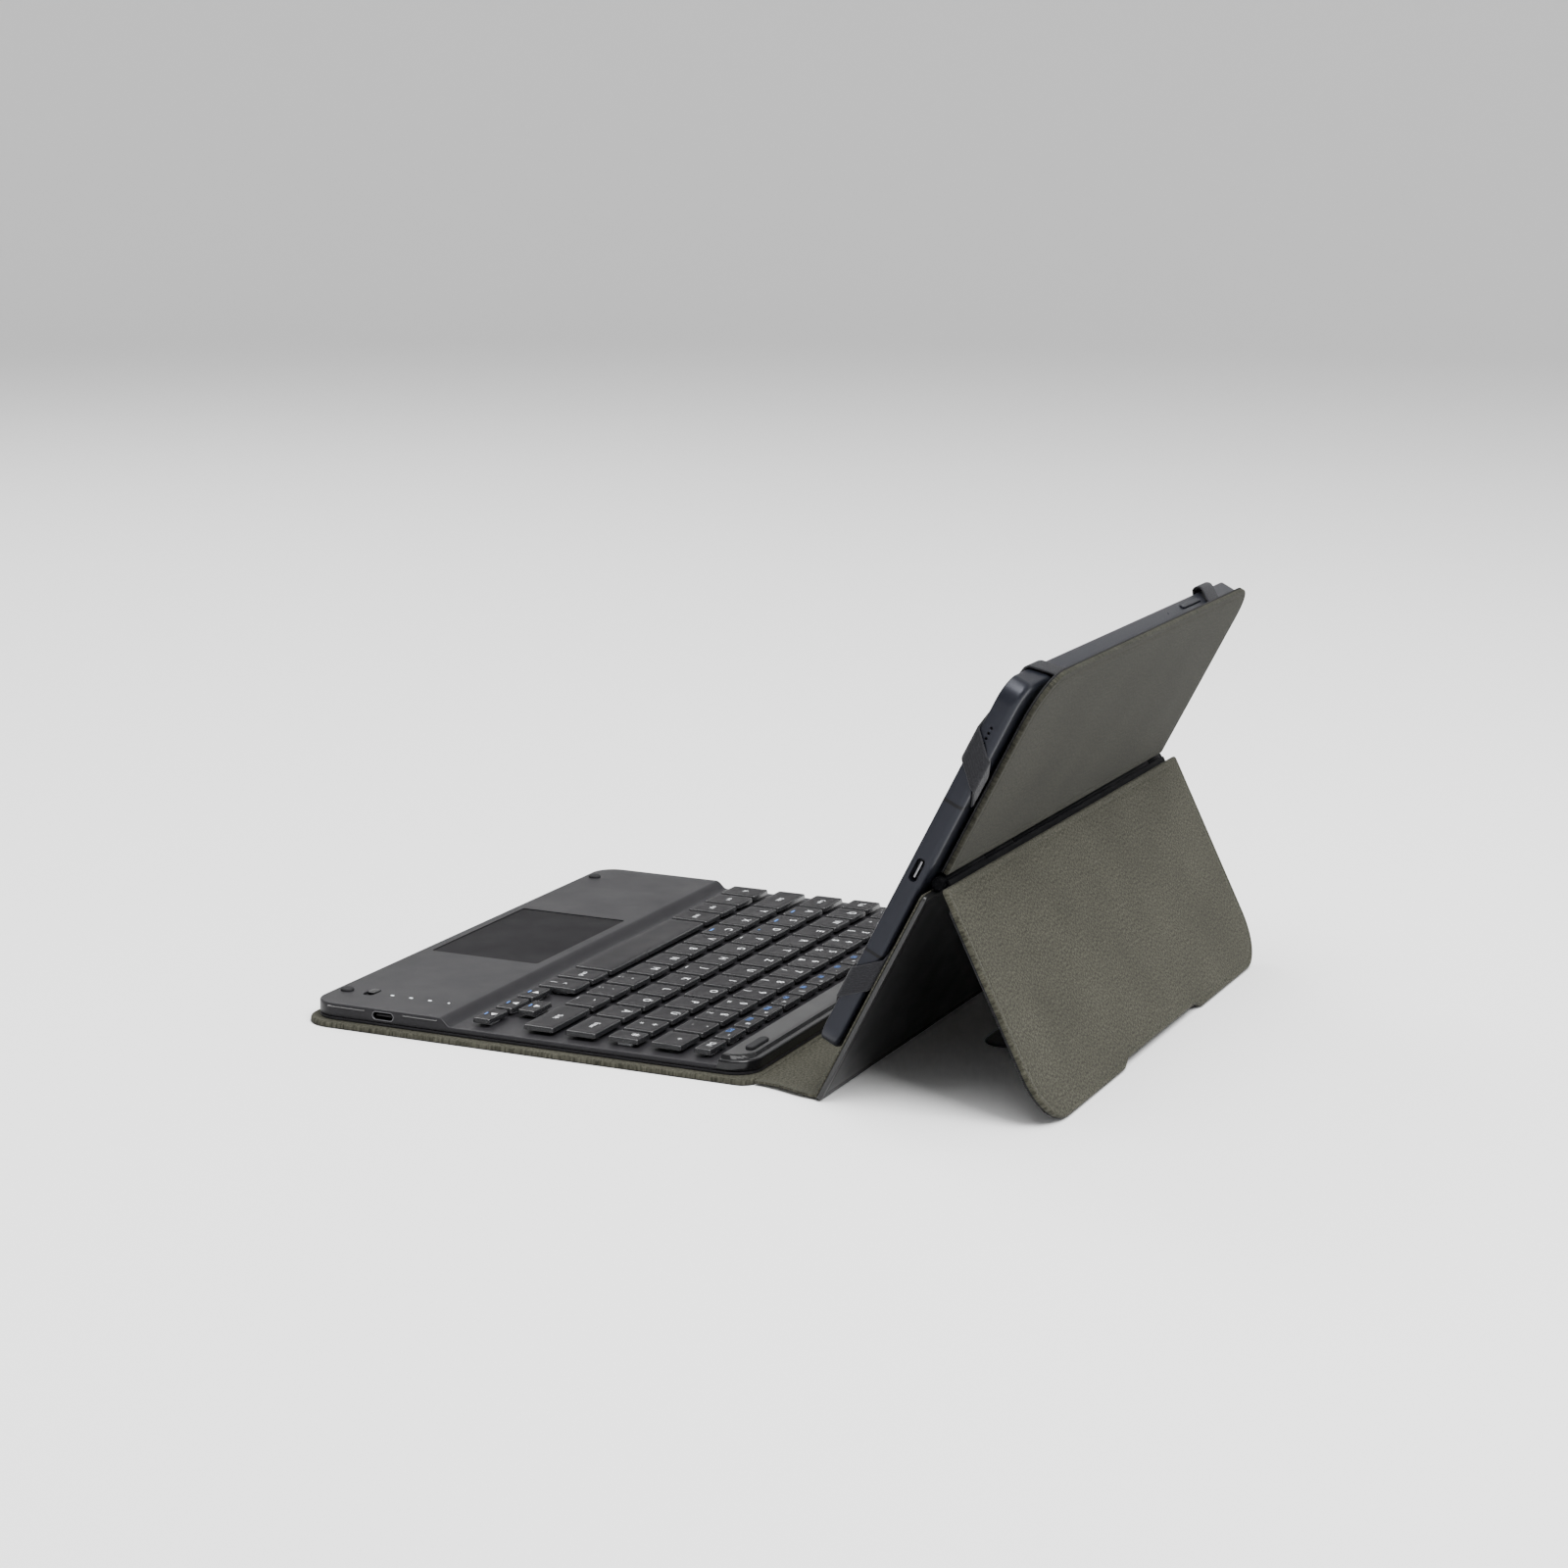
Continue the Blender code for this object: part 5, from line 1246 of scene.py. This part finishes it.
def make_tablet(look):
    """Housing with a rounded back edge and its openings, the cover glass and the volume rocker."""
    size = TABLET_HIGH[:2] - TABLET_LOW[:2]
    centre = (TABLET_HIGH[:2] + TABLET_LOW[:2]) / 2
    back, front = TABLET_LOW[2], TABLET_HIGH[2]
    profile = edge_profile(back, front, look.back_edge, look.front_edge, 4 * MM, steps=8)
    shape = loft(board(size, (TABLET_R,) * 4, profile, centre, arc=17, side=3))
    housing = piece("tablet_shell", shape, MATERIALS["metal"], "back_panel",
                    ("tablet_housing",), plane=BACK)
    side = TABLET_HIGH[0]
    middle_n = (back + front) / 2 + 0.3 * MM
    cuts = []
    turn = np.array([BACK[0][1], BACK[0][2], BACK[0][0]])
    edge_plane = (turn, BACK[1] + centre[1] * BACK[0][1] + middle_n * BACK[0][2])
    mouth = [(0.0, side - 4 * MM), (0.0, side + 1 * MM)]
    cuts.append(in_world(loft(stadium(TABLET_PORT, mouth, (0.0, 0.0))), edge_plane))
    glass_low, glass_high = in_plane("tablet_glass", BACK)
    hole = [(side - 1.5 * MM, 0.55 * MM), (side + 0.5 * MM, 0.55 * MM)]
    for step in range(SPEAKER_HOLES):
        up = TABLET_HIGH[1] - SPEAKER_FROM_TOP - step * SPEAKER_PITCH - centre[1]
        points, faces = turned(hole, (0.0, 0.0, 0.0), axis="x", segments=12)
        points = np.column_stack([points[:, 1] + up, points[:, 2], points[:, 0]])
        cuts.append(in_world((points, faces), edge_plane))
    rocker_low, rocker_high = in_plane("volume_rocker", BACK)
    top_turn = np.array([-BACK[0][0], BACK[0][2], BACK[0][1]])
    top_plane = (top_turn, BACK[1] + middle_n * BACK[0][2])
    rocker_x = (rocker_low[0] + rocker_high[0]) / 2
    slot = [(0.0, TABLET_HIGH[1] - 1.2 * MM), (0.0, TABLET_HIGH[1] + 1 * MM)]
    cuts.append(in_world(loft(stadium(ROCKER_SLOT, slot, (-rocker_x, 0.0))), top_plane))
    microphone = [(TABLET_HIGH[1] - 1 * MM, 0.4 * MM), (TABLET_HIGH[1] + 1 * MM, 0.4 * MM)]
    cuts.append(in_world(turned(microphone, (MICROPHONE_X, 0.0, 0.0), segments=12), top_plane))
    cut(housing, cuts)
    housing.data.shade_smooth()
    housing.data.set_sharp_from_angle(angle=CUT_SHARP)
    glass_size = glass_high[:2] - glass_low[:2]
    pane = edge_profile(front - 0.5 * MM, glass_high[2], 0.05 * MM, 0.2 * MM, 3 * MM)
    shape = loft(board(glass_size, (TABLET_R - 1.2 * MM,) * 4, pane, centre, arc=15))
    piece("cover_glass", shape, MATERIALS["glass"], "back_panel", ("tablet_glass",),
          plane=BACK)
    tongue = edge_profile(side - 3.9 * MM, side - 1.2 * MM, 0.05 * MM, 0.1 * MM, 0.3 * MM, steps=3)
    shape = loft(board((TONGUE_W, 0.7 * MM), (0.1 * MM,) * 4, tongue, arc=3))
    piece("tablet_port_tongue", shape, MATERIALS["steel"], "back_panel", plane=edge_plane)
    edge = edge_profile(TABLET_HIGH[1] - 0.8 * MM, TABLET_HIGH[1] + 0.6 * MM, 0.05 * MM, 0.35 * MM,
                        0.9 * MM)
    shape = merged(loft(stadium(ROCKER_SIZE, edge, (-rocker_x, 0.0))))
    piece("rocker_button", shape, MATERIALS["metal"], "volume_rocker",
          ("volume_rocker",), plane=top_plane)


def round_edge(over, height, half_edge, front, back, radius):
    """Where a band lies as it runs over a tablet edge.

    over is the distance past the edge on the flattened band and height the lift off the tablet.
    It turns a quarter circle, runs down the side, turns again and goes in behind.
    """
    quarter = radius * pi / 2
    side = front - back - 2 * radius
    first = np.clip(over, 0.0, quarter) / radius
    down = np.clip(over - quarter, 0.0, side)
    second = np.clip(over - quarter - side, 0.0, quarter) / radius
    inward = np.clip(over - 2 * quarter - side, 0.0, None)
    start = half_edge - radius
    before = np.minimum(over, 0.0)
    out = start + before + (radius + height) * np.sin(first) * (second <= 0.0)
    low = front - radius + (radius + height) * np.cos(first) - down
    out = np.where(second > 0.0, start + (radius + height) * np.cos(second) - inward, out)
    low = np.where(second > 0.0, back + radius - (radius + height) * np.sin(second), low)
    return out, low


BAND_W, BAND_T, BAND_TAIL = 9.0 * MM, 0.9 * MM, 7.0 * MM
BAND_NEAR, LOOSE_NEAR = 20.0 * MM, 26.0 * MM
BAND_SLACK, LOOSE_SLACK = 0.2 * MM, 1.5 * MM
BAND_BEND = 1.0 * MM


def elastic_band(side, end, slack, strap):
    """One corner elastic as a closed strip.

    On the flattened band a point is centre + s d + w e, with d at 45 degrees across the corner and e
    square to it; running past either tablet edge it is folded round that edge. Rows lean so that
    they lie along the tablet's edges: s = row + lean w, with lean from -1 to 1 across the corner.
    """
    half_x, half_y = (TABLET_HIGH[:2] - TABLET_LOW[:2]) / 2 + 0.25 * MM
    front = TABLET_HIGH[2] + 0.30 * MM
    back = TABLET_LOW[2] - 0.15 * MM
    radius = BAND_BEND
    width, thick, near = strap
    corner = near / np.sqrt(2) + width / 2
    quarter = radius * pi / 2
    flank = front - back - 2 * radius
    tail = BAND_TAIL
    over = np.concatenate([np.linspace(0.0, quarter, 9), quarter + flank * np.linspace(0.2, 0.8, 4),
                           quarter + flank + np.linspace(0.0, quarter, 9),
                           2 * quarter + flank + tail * np.linspace(0.2, 1.0, 4)])
    outer = corner + (over - radius) * np.sqrt(2)
    middle = np.linspace(-outer[0], outer[0], 17)[1:-1]
    row = np.concatenate([-outer[::-1], middle, outer])[:, None]
    lean = np.clip(row / (0.8 * outer[0]), -1.0, 1.0)
    lip = np.linspace(0.0, pi, 7)
    flat_half = width / 2 - thick / 2
    top_w = flat_half * np.linspace(-1.0, 1.0, 5)
    round_w = flat_half + thick / 2 * np.sin(lip)
    round_h = thick / 2 + thick / 2 * np.cos(lip)
    cross_w = np.concatenate([top_w[:-1], round_w, top_w[-2:0:-1], -round_w[::-1][:-1]])[None, :]
    cross_h = np.concatenate([0 * top_w[:-1] + thick, round_h, 0 * top_w[-2:0:-1],
                              round_h[::-1][:-1]])[None, :]
    s = row + lean * cross_w
    u = half_x - corner * np.sqrt(0.5) + (s - cross_w) * np.sqrt(0.5)
    v = half_y - corner * np.sqrt(0.5) + (-s - cross_w) * np.sqrt(0.5)
    height = cross_h + slack * np.exp(-((row + corner + 1 * MM) / (6 * MM)) ** 2)
    over_x = u - (half_x - radius)
    over_y = v - (half_y - radius)
    x_fold, x_low = round_edge(over_x, height, half_x, front, back, radius)
    y_fold, y_low = round_edge(over_y, height, half_y, front, back, radius)
    x = np.where(over_x > 0.0, x_fold, u)
    y = np.where(over_y > 0.0, y_fold, v)
    n = np.where(over_x > 0.0, x_low, np.where(over_y > 0.0, y_low, front + height))
    centre = (TABLET_HIGH[:2] + TABLET_LOW[:2]) / 2
    rings = np.stack([centre[0] + side * x, centre[1] + end * y, n], -1)
    points, faces = loft(rings)
    if side * end < 0:
        faces = [face[::-1] for face in faces]
    flat = np.stack([s, np.broadcast_to(cross_w, s.shape)], -1).reshape(-1, 2)
    return (points, faces), flat


def make_elastics(look):
    """Four bands; the upper left one sits farther from its corner and stands proud of the edge."""
    for side, across in ((-1, "left"), (1, "right")):
        for end, level in ((-1, "lower"), (1, "upper")):
            loose = (level, across) == ("upper", "left")
            slack = LOOSE_SLACK if loose else BAND_SLACK
            strap = (BAND_W, BAND_T, LOOSE_NEAR if loose else BAND_NEAR)
            shape, flat = elastic_band(side, end, slack, strap)
            piece(f"elastic_{level}_{across}", shape, MATERIALS["elastic"], "back_panel",
                  (f"corner_elastic_{level}_{across}",), plane=BACK, cloth=flat)


# ---------------------------------------------------------------- inside parts and stage

def make_inner(look):
    """Finishes of the CAD nodes that keep their own shape."""
    kept = {"keyboard_base": "body", "battery": "foil", "circuit_board": "circuit",
            "switch_membrane": "film", "hinge_pin": "steel"}
    for name, material in kept.items():
        mesh = frame["nodes"][name].data
        mesh.materials.clear()
        mesh.materials.append(MATERIALS[material])


def soft_box(name, place, aim, size, power):
    """A square area light aimed at a point."""
    lamp = bpy.data.lights.new(name, "AREA")
    lamp.shape = "RECTANGLE"
    lamp.size, lamp.size_y = size
    lamp.energy = power
    holder = bpy.data.objects.new(name, lamp)
    holder.location = place
    holder.rotation_euler = (Vector(aim) - Vector(place)).to_track_quat("-Z", "Y").to_euler()
    bpy.context.scene.collection.objects.link(holder)


FLOOR_R, FLOOR_BEND, WALL_TOP = 3.2, 1.5, 3.5
LAMPS = (     # name, place, aim, size and power
    ("overhead", (0.2, 0.15, 1.7), (0.0, 0.0, 0.0), (1.5, 1.3), 44.0),
    ("left_side", (-1.0, -1.3, 1.5), (0.0, 0.0, 0.05), (0.9, 0.7), 18.0),
    ("kicker", (0.6, 1.4, 2.2), (0.0, 0.1, 0.05), (1.5, 1.5), 105.0),
)
WORLD_STRENGTH = 0.55
SENSOR = 36.0


def make_stage(look):
    """Pale studio bowl, soft lights and the camera.

    The bowl is a profile turned about Z: a flat floor, a quarter circle up and a straight wall.
    """
    floor_r, bend, top = FLOOR_R, FLOOR_BEND, WALL_TOP
    turn = np.linspace(0.0, pi / 2, 13)
    radius = np.concatenate([[0.01, 0.6, 1.5], floor_r + bend * np.sin(turn), [floor_r + bend]])
    height = np.concatenate([[0.0, 0.0, 0.0], bend * (1 - np.cos(turn)), [top]])
    angle = np.linspace(0.0, 2 * pi, 96, endpoint=False)
    rings = np.stack([radius[:, None] * np.cos(angle), radius[:, None] * np.sin(angle),
                      np.repeat(height[:, None], len(angle), axis=1)], -1)
    points, faces = loft(rings, caps=(False, False))
    faces.append(list(range(len(angle))))
    mesh = bpy.data.meshes.new("floor")
    mesh.from_pydata(points.tolist(), [], faces)
    mesh.shade_smooth()
    material, tree, shader = base_finish("floor", roughness=0.9, specular_ior_level=0.1)
    shader.inputs["Base Color"].default_value = tuple(look.floor)
    mesh.materials.append(material)
    floor = bpy.data.objects.new("floor", mesh)
    bpy.context.scene.collection.objects.link(floor)
    for lamp in LAMPS:
        soft_box(*lamp)
    world = bpy.data.worlds.new("surroundings")
    world.use_nodes = True
    background = world.node_tree.nodes["Background"]
    background.inputs["Color"].default_value = (1.0, 1.0, 1.0, 1.0)
    background.inputs["Strength"].default_value = WORLD_STRENGTH
    bpy.context.scene.world = world
    camera = bpy.data.cameras.new("camera")
    camera.lens = look.lens
    camera.sensor_width = SENSOR
    holder = bpy.data.objects.new("camera", camera)
    holder.location = look.place
    holder.rotation_euler = look.turn
    bpy.context.scene.collection.objects.link(holder)
    bpy.context.scene.camera = holder


# ---------------------------------------------------------------- operators

class CaseStep:
    """Shared by every step: it builds one group of pieces from one group of settings."""
    bl_options = {"REGISTER", "UNDO"}
    makers = ()
    settings = "case_keyboard"

    def execute(self, context):
        look = getattr(context.scene, self.settings)
        for maker in self.makers:
            maker(look)
        return {"FINISHED"}


class CASE_OT_finishes(bpy.types.Operator):
    """Make every finish of the case."""
    bl_idname = "case.finishes"
    bl_label = "Finishes"

    def execute(self, context):
        make_materials(context.scene)
        return {"FINISHED"}


class CASE_OT_cover(CaseStep, bpy.types.Operator):
    """Make the fabric-faced board under the keyboard."""
    bl_idname = "case.cover"
    bl_label = "Keyboard cover"
    makers = (make_cover,)


class CASE_OT_deck(CaseStep, bpy.types.Operator):
    """Make the keyboard's top case."""
    bl_idname = "case.deck"
    bl_label = "Top case"
    makers = (make_deck,)


class CASE_OT_fittings(CaseStep, bpy.types.Operator):
    """Make the touchpad, switch, lights, rubber feet and charging port."""
    bl_idname = "case.fittings"
    bl_label = "Top case fittings"
    makers = (make_touchpad, make_switch, make_lights, make_rubber, make_port)


class CASE_OT_keys(CaseStep, bpy.types.Operator):
    """Make the keycaps with their prints."""
    bl_idname = "case.keys"
    bl_label = "Keys"
    makers = (make_keys,)


class CASE_OT_spine(CaseStep, bpy.types.Operator):
    """Make the soft strip between keyboard and back."""
    bl_idname = "case.spine"
    bl_label = "Spine"
    settings = "case_cloth"
    makers = (make_spine,)


class CASE_OT_back(CaseStep, bpy.types.Operator):
    """Make the boards and linings of the back."""
    bl_idname = "case.back"
    bl_label = "Back panels"
    settings = "case_cloth"
    makers = (make_panels,)


class CASE_OT_hinge(CaseStep, bpy.types.Operator):
    """Make the barrel hinge."""
    bl_idname = "case.hinge"
    bl_label = "Barrel hinge"
    settings = "case_cloth"
    makers = (make_hinge,)


class CASE_OT_stand(CaseStep, bpy.types.Operator):
    """Make the kickstand and its flap."""
    bl_idname = "case.stand"
    bl_label = "Kickstand and flap"
    settings = "case_cloth"
    makers = (make_kickstand, make_flap)


class CASE_OT_tablet(CaseStep, bpy.types.Operator):
    """Make the tablet."""
    bl_idname = "case.tablet"
    bl_label = "Tablet"
    settings = "case_tablet"
    makers = (make_tablet,)


class CASE_OT_elastics(CaseStep, bpy.types.Operator):
    """Make the corner elastics."""
    bl_idname = "case.elastics"
    bl_label = "Corner elastics"
    settings = "case_cloth"
    makers = (make_elastics,)


class CASE_OT_inner(CaseStep, bpy.types.Operator):
    """Finish the parts inside that keep their own shape."""
    bl_idname = "case.inner"
    bl_label = "Inner parts"
    makers = (make_inner,)


class CASE_OT_stage(CaseStep, bpy.types.Operator):
    """Make the floor, lights and camera."""
    bl_idname = "case.stage"
    bl_label = "Stage"
    settings = "case_stage"
    makers = (make_stage,)


STEPS = (CASE_OT_finishes, CASE_OT_cover, CASE_OT_deck, CASE_OT_fittings, CASE_OT_keys, CASE_OT_spine,
         CASE_OT_back, CASE_OT_hinge, CASE_OT_stand, CASE_OT_tablet, CASE_OT_elastics, CASE_OT_inner,
         CASE_OT_stage)
GROUPS = {"case_cloth": ClothLook, "case_keyboard": KeyboardLook, "case_tablet": TabletLook,
          "case_stage": StageLook}


class CASE_PT_panel(bpy.types.Panel):
    """Lists the settings and the steps."""
    bl_label = "Case"
    bl_idname = "CASE_PT_panel"
    bl_space_type = "VIEW_3D"
    bl_region_type = "UI"
    bl_category = "Case"

    def draw(self, context):
        column = self.layout.column()
        for name, group in GROUPS.items():
            for field in group.__annotations__:
                column.prop(getattr(context.scene, name), field)
        for step in STEPS:
            column.operator(step.bl_idname)


def register():
    """Register every class and hang the settings on the scene."""
    for group in (*GROUPS.values(), *STEPS, CASE_PT_panel):
        bpy.utils.register_class(group)
    for name, group in GROUPS.items():
        setattr(bpy.types.Scene, name, PointerProperty(type=group))


def unregister():
    """Take everything off again."""
    for name in GROUPS:
        delattr(bpy.types.Scene, name)
    for group in (CASE_PT_panel, *STEPS[::-1], *GROUPS.values()):
        bpy.utils.unregister_class(group)


def main():
    """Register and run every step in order."""
    register()
    for step in STEPS:
        group, name = step.bl_idname.split(".")
        getattr(getattr(bpy.ops, group), name)()
    bpy.context.view_layer.update()


if __name__ == "__main__":
    main()
